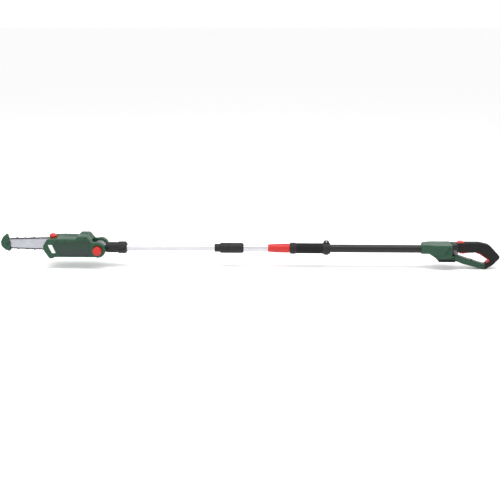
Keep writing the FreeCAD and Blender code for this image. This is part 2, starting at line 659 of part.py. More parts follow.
def coil(radius, wire, low, high, turns, x, y):
    """A compression spring as a stack of flat rings joined by a thin core strip."""
    rings = []
    step = (high - low - wire) / turns
    for i in range(turns + 1):
        z = low + step * i
        rings.append(rod_z(radius, z, z + wire, x, y).cut(rod_z(radius - wire, z - 1, z + wire + 1, x, y)))
    strip = box(x + radius - wire, x + radius - 0.1, y - wire / 2, y + wire / 2, low, high)
    return rings[0].fuse(rings[1:] + [strip])


def make_trigger_spring():
    return coil(3.4, 0.8, -1.4, 11.5, 6, 635, 0)


def make_lock_off_button():
    """Saddle button on top of the grip with a stem into the handle."""
    face = outline([(LOCK_FRONT, GRIP_TOP - 3.5, 1), (LOCK_FRONT + 3, GRIP_TOP + 4.5, 3),
                    (LOCK_FRONT + LOCK_LENGTH - 8, GRIP_TOP + 4.5, 8),
                    (LOCK_FRONT + LOCK_LENGTH, GRIP_TOP - 3.5, 1)])
    cap = softened_slab(face, -LOCK_HALF, LOCK_HALF, 0.9, (-LOCK_HALF, LOCK_HALF))
    stem = box(LOCK_FRONT + 7, LOCK_FRONT + LOCK_LENGTH - 7, -7, 7, 25.5, GRIP_TOP)
    return cap.fuse(stem).removeSplitter()


def make_lock_off_spring():
    return coil(3.0, 0.8, 20.5, 25.3, 3, LOCK_FRONT + LOCK_LENGTH / 2, 0)


def make_switch_module():
    """Micro switch in the grip, above the trigger, with a plunger towards it."""
    body = box(578, 626, -8.5, 8.5, 10, 20)
    lug = box(605, 611, -3, 3, 7.2, 10)
    return body.fuse(lug).removeSplitter()


def make_battery_dock():
    """Contact block over the battery, with blades that reach down between the battery's ribs."""
    return box(BATTERY_FRONT + 6, BATTERY_FRONT + BATTERY_LENGTH - 6, -24, 24, BATTERY_TOP + 5.2, 12)


def make_battery_case():
    """Slide-in battery: base that closes the housing and a hollow case that fits the bay."""
    rear = HOUSING_FOOT - 3
    base = softened_slab(outline([(BATTERY_FRONT, BASE_Z - SLIDE, 1), (rear, BASE_Z - SLIDE, 1),
                                  (rear, BATTERY_FLOOR, 3), (BATTERY_FRONT, BATTERY_FLOOR, 3)]),
                         -HOUSING_HALF, HOUSING_HALF, 2.0, (-HOUSING_HALF, HOUSING_HALF))
    case = battery_bay(0).cut(box(400, 700, -60, 60, -80, BASE_Z - SLIDE - 0.05))
    half = BATTERY_HALF - 2
    hollow = box(BATTERY_FRONT + 3.5, BATTERY_FRONT + BATTERY_LENGTH - 3.5, -half, half,
                 BATTERY_FLOOR + 3, BATTERY_TOP - 2)
    recess = box(BATTERY_FRONT - 2, BATTERY_FRONT + 7, -9.3, 9.3, BATTERY_FLOOR + 1.2, BASE_Z - 1.2)
    return base.fuse(case).cut([hollow, recess]).removeSplitter()


def make_battery_cells():
    """Four cells on their sides, two below and two above."""
    cells = []
    radius = 9.2
    for row, count in ((0, 2), (1, 2)):
        for i in range(count):
            x = BATTERY_FRONT + BATTERY_LENGTH / 2 + (i - (count - 1) / 2) * (2 * radius + 0.3)
            z = BATTERY_FLOOR + 3.4 + radius + row * (2 * radius + 0.3) * 0.9
            cells.append(rod_y(radius, -BATTERY_HALF + 2.5, BATTERY_HALF - 2.5, x, z))
    return Part.makeCompound(cells)


def make_battery_latch():
    """Push button in the front of the battery's base."""
    front = BATTERY_FRONT - 2
    rear = BATTERY_FRONT + 3.4
    face = outline([(front, BASE_Z - 1.5, 1), (rear, BASE_Z - 1.5, 0),
                    (rear, BATTERY_FLOOR + 1.5, 0), (front, BATTERY_FLOOR + 1.5, 1)])
    return softened_slab(face, -9, 9, 0.8, (-9, 9))


LEFT_SHELL, RIGHT_SHELL = make_handle_shells()

HANDLE_PIECES = {
    "handle_shell_left": lambda: LEFT_SHELL,
    "handle_shell_right": lambda: RIGHT_SHELL,
    "soft_grip": make_soft_grip,
    "grip_trim": lambda: biggest(trim_band(0)),
    "grip_base": make_grip_base,
    "vent_insert": make_vent_insert,
    "handle_screws": lambda: Part.makeCompound([handle_screw(*place) for place in HANDLE_SCREWS]),
    "trigger": make_trigger,
    "trigger_pin": make_trigger_pin,
    "trigger_spring": make_trigger_spring,
    "lock_off_button": make_lock_off_button,
    "lock_off_spring": make_lock_off_spring,
    "switch_module": make_switch_module,
    "battery_dock": make_battery_dock,
    "battery_case": make_battery_case,
    "battery_cells": make_battery_cells,
    "battery_latch": make_battery_latch,
}


# ---- Saw head ------------------------------------------------------------------------------------------


def at_pivot(corners):
    """Corners given from the pivot, as corners in the pole's frame."""
    return [(PIVOT_X + x, z, radius) for x, z, radius in corners]


def head_outline():
    """Side view of the housing: sloped front, top with the motor's hump, flat bottom with a bumper."""
    return outline(at_pivot([(-240.5, 16, 10), (-221, 47, 12), (-160, 50, 60), (-96, 49, 8), (-84, 61, 8),
                             (-46, 61, 8), (-24, 33, 12), (0, 33, 0), (0, -33, 0), (-20, -34.5, 10),
                             (-194, -34.5, 6), (-200, -41, 4), (-217, -41, 6), (-240.5, -2, 30)]))


MOTOR_X = SPROCKET_X + math.sqrt((GEAR_MODULE * (GEAR_TEETH + PINION_TEETH) / 2) ** 2 - MOTOR_RISE ** 2)
MOTOR_Z = BAR_Z + MOTOR_RISE


def tangent_rise(radius, run, height):
    """Slope angle of the line that touches a circle and rises to a height at a distance."""
    return math.acos(radius / math.hypot(run, height)) - math.atan2(run, height)


def rivet_face():
    """Inside of the rivet line: round the nose, widest at the shoulder, round the drive sprocket."""
    shoulder_x = SPROCKET_X - SHOULDER_BACK
    front = NOSE_X - NOSE_PITCH_R
    rear = SPROCKET_X + SPROCKET_PITCH_R
    front_rise = tangent_rise(NOSE_PITCH_R, shoulder_x - NOSE_X, SHOULDER_HALF)
    rear_rise = tangent_rise(SPROCKET_PITCH_R, SPROCKET_X - shoulder_x, SHOULDER_HALF)
    front_z = SHOULDER_HALF - (shoulder_x - front) * math.tan(front_rise)
    rear_z = SHOULDER_HALF - (rear - shoulder_x) * math.tan(rear_rise)
    return outline([(front, BAR_Z + front_z, NOSE_PITCH_R),
                    (shoulder_x, BAR_Z + SHOULDER_HALF, SHOULDER_ROUND),
                    (rear, BAR_Z + rear_z, SPROCKET_PITCH_R), (rear, BAR_Z - rear_z, SPROCKET_PITCH_R),
                    (shoulder_x, BAR_Z - SHOULDER_HALF, SHOULDER_ROUND),
                    (front, BAR_Z - front_z, NOSE_PITCH_R)])


RIVET_LOOP = rivet_face().OuterWire
RIVETS = 4 * round(RIVET_LOOP.Length / (4 * CHAIN_PITCH))
RIVET_STEP = RIVET_LOOP.Length / RIVETS
RIVET_PLACES = RIVET_LOOP.discretize(Number=RIVETS + 1)[:RIVETS]


def rivet_place(index):
    return RIVET_PLACES[index % RIVETS]


def along_chain(template, index):
    """A link drawn between (0, 0) and (step, 0), outside up, set on rivets index and index + 1."""
    first = rivet_place(index)
    second = rivet_place(index + 1)
    heading = math.atan2(second.z - first.z, second.x - first.x)
    middle = (first + second) * 0.5
    piece = template.copy()
    piece.translate(vec(-RIVET_STEP / 2, 0, 0))
    piece.rotate(vec(0, 0, 0), vec(0, -1, 0), math.degrees(heading))
    piece.translate(middle)
    return piece


def link_holes(y0, y1):
    return [rod_y(RIVET_R + FIT, y0, y1, 0, 0), rod_y(RIVET_R + FIT, y0, y1, RIVET_STEP, 0)]


def make_drive_links():
    """Middle links: each has a tang that runs in the bar's groove."""
    y0 = BAR_Y - DRIVE_THICK / 2
    step = RIVET_STEP
    face = outline([(-LINK_R, LINK_R, 3), (step + LINK_R, LINK_R, 3), (step + LINK_R, -LINK_R, 2.6),
                    (step - 1.0, -7.4, 1), (1.0, -7.4, 1), (-LINK_R, -LINK_R, 2.6)])
    link = slab(face, y0, y0 + DRIVE_THICK).cut(link_holes(y0 - 1, y0 + 3))
    return Part.makeCompound([along_chain(link, i) for i in range(0, RIVETS, 2)])


def strap_template(side):
    """An outer link plate on one side (+1 or -1) of the drive links."""
    y0 = BAR_Y + side * (DRIVE_THICK / 2 + LINK_GAP + LINK_THICK / 2) - LINK_THICK / 2
    step = RIVET_STEP
    face = outline([(-LINK_R, LINK_R, 3), (step + LINK_R, LINK_R, 3), (step + LINK_R, -1.5, 1.2),
                    (-LINK_R, -1.5, 1.2)])
    return slab(face, y0, y0 + LINK_THICK).cut(link_holes(y0 - 1, y0 + 3))


def cutter_template(side):
    """A cutter: plate with a depth gauge in front and a hooked cutting top that leans outwards."""
    plate = strap_template(side)
    y0 = BAR_Y + side * (DRIVE_THICK / 2 + LINK_GAP + LINK_THICK / 2) - LINK_THICK / 2
    step = RIVET_STEP
    tooth = outline([(step - 3.0, 2.0, 0), (step + LINK_R + 1.2, 2.0, 0),
                     (step + LINK_R + 1.2, TOOTH_TOP - 0.7, 0.8), (step - 4.0, TOOTH_TOP, 0.3)])
    gauge = outline([(-LINK_R, 2.0, 0), (0.5, 2.0, 0), (-0.3, TOOTH_TOP - 0.9, 1.0),
                     (-LINK_R + 0.6, TOOTH_TOP - 1.3, 1.0)])
    top = outline([(step - 4.0, TOOTH_TOP - 1.1, 0), (step + LINK_R + 1.2, TOOTH_TOP - 1.8, 0),
                   (step + LINK_R + 1.2, TOOTH_TOP - 0.8, 0), (step - 4.0, TOOTH_TOP, 0)])
    out = slab(top, min(y0, y0 + side * 2.4), max(y0 + LINK_THICK, y0 + LINK_THICK + side * 2.4))
    body = plate.fuse([slab(tooth, y0, y0 + LINK_THICK), slab(gauge, y0, y0 + LINK_THICK), out])
    return body.removeSplitter()


def make_tie_straps():
    """Plain outer plates: both sides at every second joint, and opposite each cutter."""
    left = strap_template(-1)
    right = strap_template(1)
    pieces = []
    for order, i in enumerate(range(1, RIVETS, 2)):
        if order % 4 != 1:
            pieces.append(along_chain(left, i))
        if order % 4 != 3:
            pieces.append(along_chain(right, i))
    return Part.makeCompound(pieces)


def make_cutters():
    left = cutter_template(-1)
    right = cutter_template(1)
    pieces = []
    for order, i in enumerate(range(1, RIVETS, 2)):
        if order % 4 == 1:
            pieces.append(along_chain(left, i))
        if order % 4 == 3:
            pieces.append(along_chain(right, i))
    return Part.makeCompound(pieces)


def make_chain_rivets():
    half = DRIVE_THICK / 2 + LINK_GAP + LINK_THICK + 0.35
    rivets = []
    for i in range(RIVETS):
        place = rivet_place(i)
        rivets.append(rod_y(RIVET_R, BAR_Y - half, BAR_Y + half, place.x, place.z))
    return Part.makeCompound(rivets)


def bar_slab(distance, y0, y1):
    """The bar's side view, moved inwards by a distance and carried from y0 to y1."""
    tail = SPROCKET_X - BAR_TAIL_TO_SPROCKET
    far = NOSE_X - 80
    keep = outline([(far, BAR_Z + 80, 0), (tail - 24, BAR_Z + 80, 0), (tail - 24, BAR_Z + 24 - distance, 0),
                    (tail, BAR_Z + 12 - distance, 4), (tail, BAR_Z - 12 + distance, 4),
                    (tail - 24, BAR_Z - 24 + distance, 0), (tail - 24, BAR_Z - 80, 0), (far, BAR_Z - 80, 0)])
    return slab(inset(rivet_face(), RIVET_LIFT + distance), y0, y1).common(slab(keep, y0, y1))


def bar_stud_places():
    tail = SPROCKET_X - BAR_TAIL_TO_SPROCKET
    return [tail - place for place in STUD_PLACES]


def tension_pin_place():
    return bar_stud_places()[0] - 12.0, BAR_Z - 10.5


def make_guide_bar():
    """Laminated bar: grooved all round, slotted at the tail for the studs, pocketed for the nose wheel."""
    y0 = BAR_Y - BAR_THICK / 2
    y1 = BAR_Y + BAR_THICK / 2
    bar = bar_slab(0, y0, y1)
    groove_low = BAR_Y - GROOVE_WIDTH / 2
    groove_high = BAR_Y + GROOVE_WIDTH / 2
    groove = bar_slab(-2, groove_low, groove_high).cut(bar_slab(GROOVE_DEPTH, groove_low - 1, groove_high + 1))
    pocket = rod_y(NOSE_SPROCKET_R + 1.0, groove_low, groove_high, NOSE_X, BAR_Z)
    hub = rod_y(NOSE_PIN_R + SEAT, y0 - 1, y1 + 1, NOSE_X, BAR_Z)
    rear, front = bar_stud_places()
    slack = STUD_R + 0.3
    slot_front = front - TENSION_TRAVEL
    slot = rod_y(slack, y0 - 1, y1 + 1, slot_front, BAR_Z).fuse([
        rod_y(slack, y0 - 1, y1 + 1, rear, BAR_Z),
        box(slot_front, rear, y0 - 1, y1 + 1, BAR_Z - slack, BAR_Z + slack)])
    pin_x, pin_z = tension_pin_place()
    pin = rod_y(2.5 + SEAT, y0 - 1, y1 + 1, pin_x, pin_z)
    return bar.cut([groove, pocket, hub, slot, pin]).removeSplitter()


def toothed_wheel(tip, root, teeth, y0, y1, x, z, share_root, share_tip, phase=0.0):
    """A wheel with straight-sided teeth; the shares are tooth widths as parts of the tooth step."""
    step = 2 * math.pi / teeth
    points = []
    for i in range(teeth):
        middle = phase + i * step
        for radius, offset in ((root, -share_root / 2), (tip, -share_tip / 2), (tip, share_tip / 2),
                               (root, share_root / 2)):
            angle = middle + offset * step
            points.append(vec(x + radius * math.cos(angle), y0, z + radius * math.sin(angle)))
    return Part.Face(Part.makePolygon(points + points[:1])).extrude(vec(0, y1 - y0, 0))


def make_nose_sprocket():
    wheel = toothed_wheel(NOSE_SPROCKET_R, 8.2, NOSE_TEETH, BAR_Y - 0.55, BAR_Y + 0.55,
                          NOSE_X, BAR_Z, 0.6, 0.25)
    return wheel.cut(rod_y(NOSE_PIN_R + FIT, 0, 60, NOSE_X, BAR_Z))


def make_nose_guard():
    """Moulded cap round the bar's nose, drawn up to a hook for pulling branches down."""
    face = outline([(NOSE_X + 5, BAR_Z + 32, 3), (NOSE_X + 2, BAR_Z + 41, 3), (NOSE_X - 3, BAR_Z + 45, 3.5),
                    (NOSE_X - 20, BAR_Z + 31, 22), (NOSE_X - GUARD_REACH, BAR_Z + 10, 14),
                    (NOSE_X - GUARD_REACH, BAR_Z - 10, 16), (NOSE_X - 14, BAR_Z - 29, 16),
                    (NOSE_X + 5, BAR_Z - 35, 4), (NOSE_X + 11, BAR_Z - 27, 4), (NOSE_X + 9, BAR_Z, 30)])
    body = softened_slab(face, GUARD_NEAR, GUARD_FAR, 2.0, (GUARD_NEAR, GUARD_FAR))
    low = GUARD_NEAR + GUARD_WALL
    high = GUARD_FAR - GUARD_WALL
    reach = NOSE_PITCH_R + TOOTH_TOP + 0.5
    hollow = rod_y(reach, low, high, NOSE_X, BAR_Z).fuse(
        box(NOSE_X, NOSE_X + 60, low, high, BAR_Z - reach - 0.5, BAR_Z + reach + 0.5))
    boss_near = rod_y(6.5, GUARD_NEAR, BAR_Y - BAR_THICK / 2 - SEAT, NOSE_X, BAR_Z)
    boss_far = rod_y(6.5, BAR_Y + BAR_THICK / 2 + SEAT, GUARD_FAR, NOSE_X, BAR_Z)
    body = body.cut(hollow).fuse([boss_near, boss_far])
    hole = rod_y(SCREW_R + SEAT, 0, 60, NOSE_X, BAR_Z)
    sink = rod_y(4.5, 0, GUARD_NEAR + 2.4, NOSE_X, BAR_Z)
    nut = hexagon_y(7.0 + 2 * SEAT, GUARD_FAR - 2.6, 60, NOSE_X, BAR_Z)
    return body.cut([hole, sink, nut]).removeSplitter()


def make_nose_guard_screw():
    """Screw and nut through the guard and the hollow nose pin."""
    head = rod_y(4.3, GUARD_NEAR + 0.2, GUARD_NEAR + 2.35, NOSE_X, BAR_Z)
    shank = rod_y(SCREW_R, GUARD_NEAR + 2.3, GUARD_FAR - 0.4, NOSE_X, BAR_Z)
    socket = hexagon_y(4.0, 0, GUARD_NEAR + 1.8, NOSE_X, BAR_Z)
    nut = hexagon_y(7.0, GUARD_FAR - 2.5, GUARD_FAR - 0.3, NOSE_X, BAR_Z)
    nut = nut.cut(rod_y(SCREW_R + SEAT, 0, 60, NOSE_X, BAR_Z))
    sleeve = rod_y(NOSE_PIN_R, BAR_Y - BAR_THICK / 2, BAR_Y + BAR_THICK / 2, NOSE_X, BAR_Z)
    sleeve = sleeve.cut(rod_y(SCREW_R + SEAT, 0, 60, NOSE_X, BAR_Z))
    return Part.makeCompound([head.fuse(shank).cut(socket).removeSplitter(), nut, sleeve])


def make_tension_block():
    """Threaded block with the pin that pulls the bar."""
    x, z = tension_pin_place()
    block = box(x - 4, x + 4, TENSION_Y - 4, PLATE_Y - 3.4, z - 4, z + 4)
    pin = rod_y(2.5, PLATE_Y - 4, BAR_Y + BAR_THICK / 2 - 0.5, x, z)
    return block.fuse(pin).cut(rod_x(TENSION_R + FIT, x - 10, x + 10, TENSION_Y, z)).removeSplitter()


def make_tension_screw():
    """Screw along the bar that drives the tension block; its slotted head shows at the housing's front."""
    x, z = tension_pin_place()
    shank = rod_x(TENSION_R, x - 9, x + 9.5, TENSION_Y, z)
    head = rod_x(4.0, x - 13, x - 9, TENSION_Y, z)
    slot = box(x - 14, x - 11.6, TENSION_Y - 5, TENSION_Y + 5, z - 0.6, z + 0.6)
    return head.fuse(shank).cut(slot).removeSplitter()


def tank_block(gap):
    """The oil tank's outer shape, slanted like the front of the housing."""
    face = outline(at_pivot([(-226 - gap, 36 + gap, 4), (-196 + gap, 36 + gap, 4),
                             (-182 + gap, -26 - gap, 4), (-205 - gap, -26 - gap, 4)]))
    shoulder = outline(at_pivot([(-225 - gap, 36 + gap, 3), (-198 + gap, 36 + gap, 3),
                                 (-199 + gap, 20 - gap, 3), (-220 - gap, 20 - gap, 3)]))
    return slab(face, -HEAD_NEAR + WALL + 0.3 - gap, 3 + gap).fuse(slab(shoulder, 0, 15 + gap))


def tank_window(gap):
    face = outline(at_pivot([(-219 - gap, 23 + gap, 2), (-199.5 + gap, 23 + gap, 2),
                             (-185 + gap, -16 - gap, 2), (-203 - gap, -16 - gap, 2)]))
    return slab(face, -HEAD_NEAR + 1.8 - gap, -HEAD_NEAR + WALL + 1)


def window_opening():
    """Opening in the housing in front of the window, with a little more room at its front edge."""
    face = outline(at_pivot([(-221, 24, 2), (-199, 24, 2), (-184.5, -17, 2), (-204, -17, 2)]))
    return slab(face, -HEAD_NEAR - 1, -HEAD_NEAR + 1.8)


def make_oil_tank():
    body = tank_block(0).fuse(tank_window(0))
    inside = outline(at_pivot([(-223.6, 33.6, 2), (-198, 33.6, 2), (-184.6, -23.6, 2), (-203.4, -23.6, 2)]))
    hollow = slab(inside, -HEAD_NEAR + WALL + 2.3, 1)
    neck = rod_z(NECK_OUT, 33, CAP_SEAT, PIVOT_X + CAP_X, CAP_Y)
    bore = rod_z(NECK_OUT - 2, 30, CAP_SEAT + 1, PIVOT_X + CAP_X, CAP_Y)
    return body.fuse(neck).cut([hollow, bore]).removeSplitter()


def make_oil_cap():
    """Domed cap with a plug that turns in the tank's neck."""
    x = PIVOT_X + CAP_X
    low = CAP_SEAT + SLIDE
    height = CAP_HEIGHT - SLIDE
    crown = 0.62 * height
    ball_r = (CAP_R ** 2 + crown ** 2) / (2 * crown)
    ball = Part.makeSphere(ball_r, vec(x, CAP_Y, low + height - ball_r))
    dome = rod_z(CAP_R, low, low + height, x, CAP_Y).common(ball)
    plug = rod_z(NECK_OUT - 2 - SLIDE, CAP_SEAT - 7, low + 1, x, CAP_Y)
    return dome.fuse(plug).removeSplitter()


def knuckle_gap():
    """Room between the ears for the knuckle and its neck through the whole swing."""
    reach = KNUCKLE_R + 2.0
    gap = box(PIVOT_X - reach, PIVOT_X + 80, -EAR_INNER, EAR_INNER, -90, 90)
    return gap


def head_cavity(y0, y1):
    """The hollow inside the housing, which stops at the wall in front of the knuckle."""
    face = inset(head_outline(), WALL)
    limit = PIVOT_X - KNUCKLE_R - 2.0 - WALL
    return slab(face, y0, y1).common(box(PIVOT_X - 400, limit, -80, 80, -90, 90))


def ear(y0, y1):
    return rod_y(EAR_R, y0, y1, PIVOT_X, 0)


def head_holes():
    """Holes that both head shells share: the pivot pin, the cap's seat, the tank and its window."""
    x = PIVOT_X + CAP_X
    return [rod_y(PIN_R + SEAT, -90, 90, PIVOT_X, 0), rod_z(NECK_OUT + 0.3, 30, 70, x, CAP_Y),
            tank_block(0.1), tank_window(0.1).fuse(window_opening()), cap_recess()]


def cap_recess():
    return rod_z(CAP_R + 0.6, 45.0, 90, PIVOT_X + CAP_X, CAP_Y)


def head_screw_places():
    return [(PIVOT_X + x, z) for x, z in HEAD_SCREWS]


def side_panel_outline(grow):
    return inset(outline(at_pivot([(-197.5, 34, 3), (-124, 34, 8), (-66, 47, 6), (-40, 47, 6), (-33, 30, 8),
                                   (-33, -26, 4), (-166, -26, 3)])), -grow)


def make_head_shell_left():
    """Near half of the housing with its ear, window and the recess for the side panel."""
    body = slab(head_outline(), -HEAD_NEAR, SPLIT_Y)
    body = body.makeFillet(6.0, side_edges(body, (-HEAD_NEAR,)))
    body = body.cut(head_cavity(-HEAD_NEAR + WALL, SPLIT_Y + 1))
    body = body.fuse(ear(-EAR_OUTER, -EAR_INNER))
    bosses = []
    for x, z in head_screw_places():
        bosses.append(rod_y(4.6, -HEAD_NEAR + WALL - 0.5, SPLIT_Y, x, z).common(
            slab(head_outline(), -HEAD_NEAR, SPLIT_Y)))
    body = body.fuse(bosses)
    cuts = head_holes() + [knuckle_gap(), button_bore(SLIDE),
                           slab(side_panel_outline(SEAT), -HEAD_NEAR - 9, -HEAD_NEAR + PANEL_DEPTH)]
    for x, z in head_screw_places():
        cuts.append(rod_y(1.8 + SEAT, -90, 40, x, z))
        cuts.append(rod_y(3.5, -90, -HEAD_NEAR + 2.6, x, z))
    cuts.append(tension_room())
    return biggest(body.cut(cuts))


def button_bore(gap):
    """Blind bore in the near ear for the pivot button and its spring."""
    return rod_y(BUTTON_R + gap, -90, -EAR_OUTER + 14.0, PIVOT_X, 0)


def tension_room():
    """Slot for the tension block's travel, and the screw's hole."""
    x, z = tension_pin_place()
    travel = TENSION_TRAVEL + 0.4
    block = box(x - 4 - 0.4, x + 4 + travel, TENSION_Y - 4.4, PLATE_Y - 3.0, z - 4.4, z + 4.4)
    pin = box(x - 2.9, x + 2.5 + travel, PLATE_Y - 5, PLATE_Y + 4, z - 2.9, z + 2.9)
    screw = rod_x(TENSION_R + FIT, x - 10, x + 12, TENSION_Y, z)
    head = rod_x(4.0 + SLIDE, x - 60, x - 8.7, TENSION_Y, z)
    return block.fuse([pin, screw, head])


def make_head_shell_right():
    """Far half of the housing: narrow beside the bar, wide behind it, with the far ear."""
    narrow = slab(head_outline(), SPLIT_Y, PLATE_Y).common(
        box(PIVOT_X - 400, SPROCKET_X + COVER_REAR, -90, 90, -90, 90))
    wide = slab(head_outline(), SPLIT_Y, COVER_OUTER)
    wide = wide.makeFillet(6.0, side_edges(wide, (COVER_OUTER,)))
    wide = wide.common(box(SPROCKET_X + COVER_REAR, PIVOT_X + 90, -90, 90, -90, 90))
    cavity = head_cavity(SPLIT_Y - 1, PLATE_Y - WALL)
    rear_cavity = head_cavity(PLATE_Y - WALL - 1, COVER_OUTER - WALL).common(
        box(SPROCKET_X + COVER_REAR + WALL, PIVOT_X + 90, -90, 90, -90, 90))
    body = narrow.fuse(wide).cut([cavity, rear_cavity]).fuse(ear(EAR_INNER, EAR_OUTER))
    bosses = []
    for x, z in head_screw_places():
        bosses.append(rod_y(4.6, SPLIT_Y, BOSS_END, x, z).common(slab(head_outline(), SPLIT_Y, PLATE_Y)))
    x, z = tension_pin_place()
    bosses.append(box(x - 9, x + 11, TENSION_Y - 7, PLATE_Y - WALL + 0.5, z - 7, z + 7))
    body = body.fuse(bosses)
    cuts = head_holes() + [knuckle_gap(), tension_room(),
                           rod_y(BEARING_R + SEAT, PLATE_Y - 3.5, PLATE_Y + 4, SPROCKET_X, BAR_Z)]
    for x, z in head_screw_places():
        cuts.append(rod_y(1.8 + SEAT, -90, BOSS_END - 1, x, z))
    for x in bar_stud_places():
        cuts.append(rod_y(STUD_R + SEAT, PLATE_Y - 4, PLATE_Y + 5, x, BAR_Z))
    return biggest(body.cut(cuts))


def make_gearbox_plate():
    face = inset(head_outline(), PLATE_MARGIN)
    plate = slab(face, PLATE_Y + SEAT, PLATE_Y + PLATE_THICK).common(
        box(PIVOT_X - 400, SPROCKET_X + COVER_REAR - 4, -90, 90, -90, 90))
    cuts = [rod_y(BEARING_R + SEAT, 0, 60, SPROCKET_X, BAR_Z), tension_room()]
    for x in bar_stud_places():
        cuts.append(rod_y(STUD_R + SEAT, 0, 60, x, BAR_Z))
    return biggest(plate.cut(cuts))


def make_sprocket_cover():
    """Cover over sprocket, chain and bar tail; its front is open for bar and chain."""
    low = PLATE_Y + PLATE_THICK + SEAT
    body = slab(head_outline(), low, COVER_OUTER)
    body = body.makeFillet(6.0, side_edges(body, (COVER_OUTER,)))
    body = body.common(box(PIVOT_X - 400, SPROCKET_X + COVER_REAR - SHOE_GAP, -90, 90, -90, 90))
    hollow = head_cavity(low - 1, COVER_OUTER - WALL).common(
        box(PIVOT_X - 400, SPROCKET_X + COVER_REAR - WALL, -90, 90, -90, 90))
    room = SHOULDER_HALF + TOOTH_TOP + 1.5
    mouth = box(PIVOT_X - 400, SPROCKET_X - 30, low - 1, BAR_Y + 8, BAR_Z - room, BAR_Z + room)
    body = body.cut([hollow, mouth])
    pads = []
    for x in bar_stud_places():
        pads.append(rod_y(8.0, BAR_Y + BAR_THICK / 2 + SEAT, COVER_OUTER - 1, x, BAR_Z))
    body = body.fuse(pads)
    cuts = []
    for x in bar_stud_places():
        cuts.append(rod_y(STUD_R + 0.2, 0, 90, x, BAR_Z))
        cuts.append(rod_y(8.5, COVER_OUTER - 1.5, 90, x, BAR_Z))
    return biggest(body.cut(cuts))


def make_bar_studs():
    studs = []
    for x in bar_stud_places():
        studs.append(rod_y(STUD_R, PLATE_Y - 3.5, COVER_OUTER + 5.2, x, BAR_Z))
    return Part.makeCompound(studs)


def make_bar_nuts():
    nuts = []
    for x in bar_stud_places():
        body = rod_y(8.0, COVER_OUTER - 1.45, COVER_OUTER - 0.2, x, BAR_Z)
        body = body.fuse(hexagon_y(13.0, COVER_OUTER - 1, COVER_OUTER + 5.5, x, BAR_Z))
        nuts.append(body.cut(rod_y(STUD_R + SEAT, 0, 90, x, BAR_Z)).removeSplitter())
    return Part.makeCompound(nuts)


def make_side_panel():
    """Dark panel let into the near shell, with a blank label plate on it."""
    panel = slab(side_panel_outline(0), -HEAD_NEAR + 0.8, -HEAD_NEAR + PANEL_DEPTH - SEAT)
    label = slab(outline(at_pivot([(-160, 22, 3), (-74, 26, 3), (-74, -8, 3), (-146, -8, 3)])),
                 -HEAD_NEAR + 0.3, -HEAD_NEAR + 1)
    body = panel.fuse(label).removeSplitter()
    keep = [rod_y(BUTTON_R + 2.5, -90, 0, PIVOT_X, 0), rod_y(EAR_R + 0.4, -90, 0, PIVOT_X, 0)]
    for x, z in head_screw_places():
        keep.append(rod_y(3.6, -90, 0, x, z))
    return biggest(body.cut(keep))


def make_motor_can():
    """Closed motor can with its end cap, hollow for the rotor's shaft."""
    can = rod_y(MOTOR_R, -HEAD_NEAR + 8, 4, MOTOR_X, MOTOR_Z)
    boss = rod_y(7.0, 3.5, 6.5, MOTOR_X, MOTOR_Z)
    inside = rod_y(MOTOR_R - 1.5, -HEAD_NEAR + 10, 2, MOTOR_X, MOTOR_Z)
    return can.fuse(boss).cut([inside, rod_y(2.5 + FIT, -90, 90, MOTOR_X, MOTOR_Z)]).removeSplitter()


def make_motor_rotor():
    """Rotor with its shaft; the pinion is cut on the shaft's end."""
    shaft = rod_y(2.5, -HEAD_NEAR + 7, 9.5, MOTOR_X, MOTOR_Z)
    core = rod_y(MOTOR_R - 4.5, -HEAD_NEAR + 14, -2, MOTOR_X, MOTOR_Z)
    lean = math.atan2(MOTOR_Z - BAR_Z, MOTOR_X - SPROCKET_X)
    step = 2 * math.pi / PINION_TEETH
    phase = lean + math.pi + step / 2
    pitch = GEAR_MODULE * PINION_TEETH / 2
    pinion = toothed_wheel(pitch + 0.75 * GEAR_MODULE, pitch - 1.1 * GEAR_MODULE, PINION_TEETH, 9, 15.5,
                           MOTOR_X, MOTOR_Z, 0.62, 0.2, phase)
    return shaft.fuse([core, pinion]).removeSplitter()


def make_output_gear():
    lean = math.atan2(MOTOR_Z - BAR_Z, MOTOR_X - SPROCKET_X)
    pitch = GEAR_MODULE * GEAR_TEETH / 2
    gear = toothed_wheel(pitch + 0.75 * GEAR_MODULE, pitch - 1.1 * GEAR_MODULE, GEAR_TEETH, 9.2, 15.2,
                         SPROCKET_X, BAR_Z, 0.62, 0.2, lean)
    return gear.cut(rod_y(PIN_R + SEAT, 0, 60, SPROCKET_X, BAR_Z))


def make_output_shaft():
    return rod_y(PIN_R, 6.0, BAR_Y + 8, SPROCKET_X, BAR_Z)


def make_output_bearings():
    """Two bearing rings side by side in the plate."""
    rings = []
    for y0, y1 in ((PLATE_Y - 3.3, PLATE_Y - 0.3), (PLATE_Y - 0.2, PLATE_Y + PLATE_THICK)):
        rings.append(rod_y(BEARING_R, y0, y1, SPROCKET_X, BAR_Z).cut(
            rod_y(PIN_R + FIT, 0, 60, SPROCKET_X, BAR_Z)))
    return Part.makeCompound(rings)


def make_drive_sprocket():
    wheel = toothed_wheel(11.8, 8.4, DRIVE_TEETH, BAR_Y - 3, BAR_Y + 3, SPROCKET_X, BAR_Z, 0.6, 0.3)
    return wheel.cut(rod_y(PIN_R + SEAT, 0, 60, SPROCKET_X, BAR_Z))


def make_pivot_pin():
    """Pin through both ears, headed on the far side."""
    shank = rod_y(PIN_R, -EAR_OUTER + 14.5, EAR_OUTER + 0.5, PIVOT_X, 0)
    head = rod_y(11.0, EAR_OUTER + SEAT, EAR_OUTER + 3.5, PIVOT_X, 0)
    socket = hexagon_y(8.0, EAR_OUTER + 1.0, EAR_OUTER + 9, PIVOT_X, 0)
    return shank.fuse(head).cut(socket).removeSplitter()


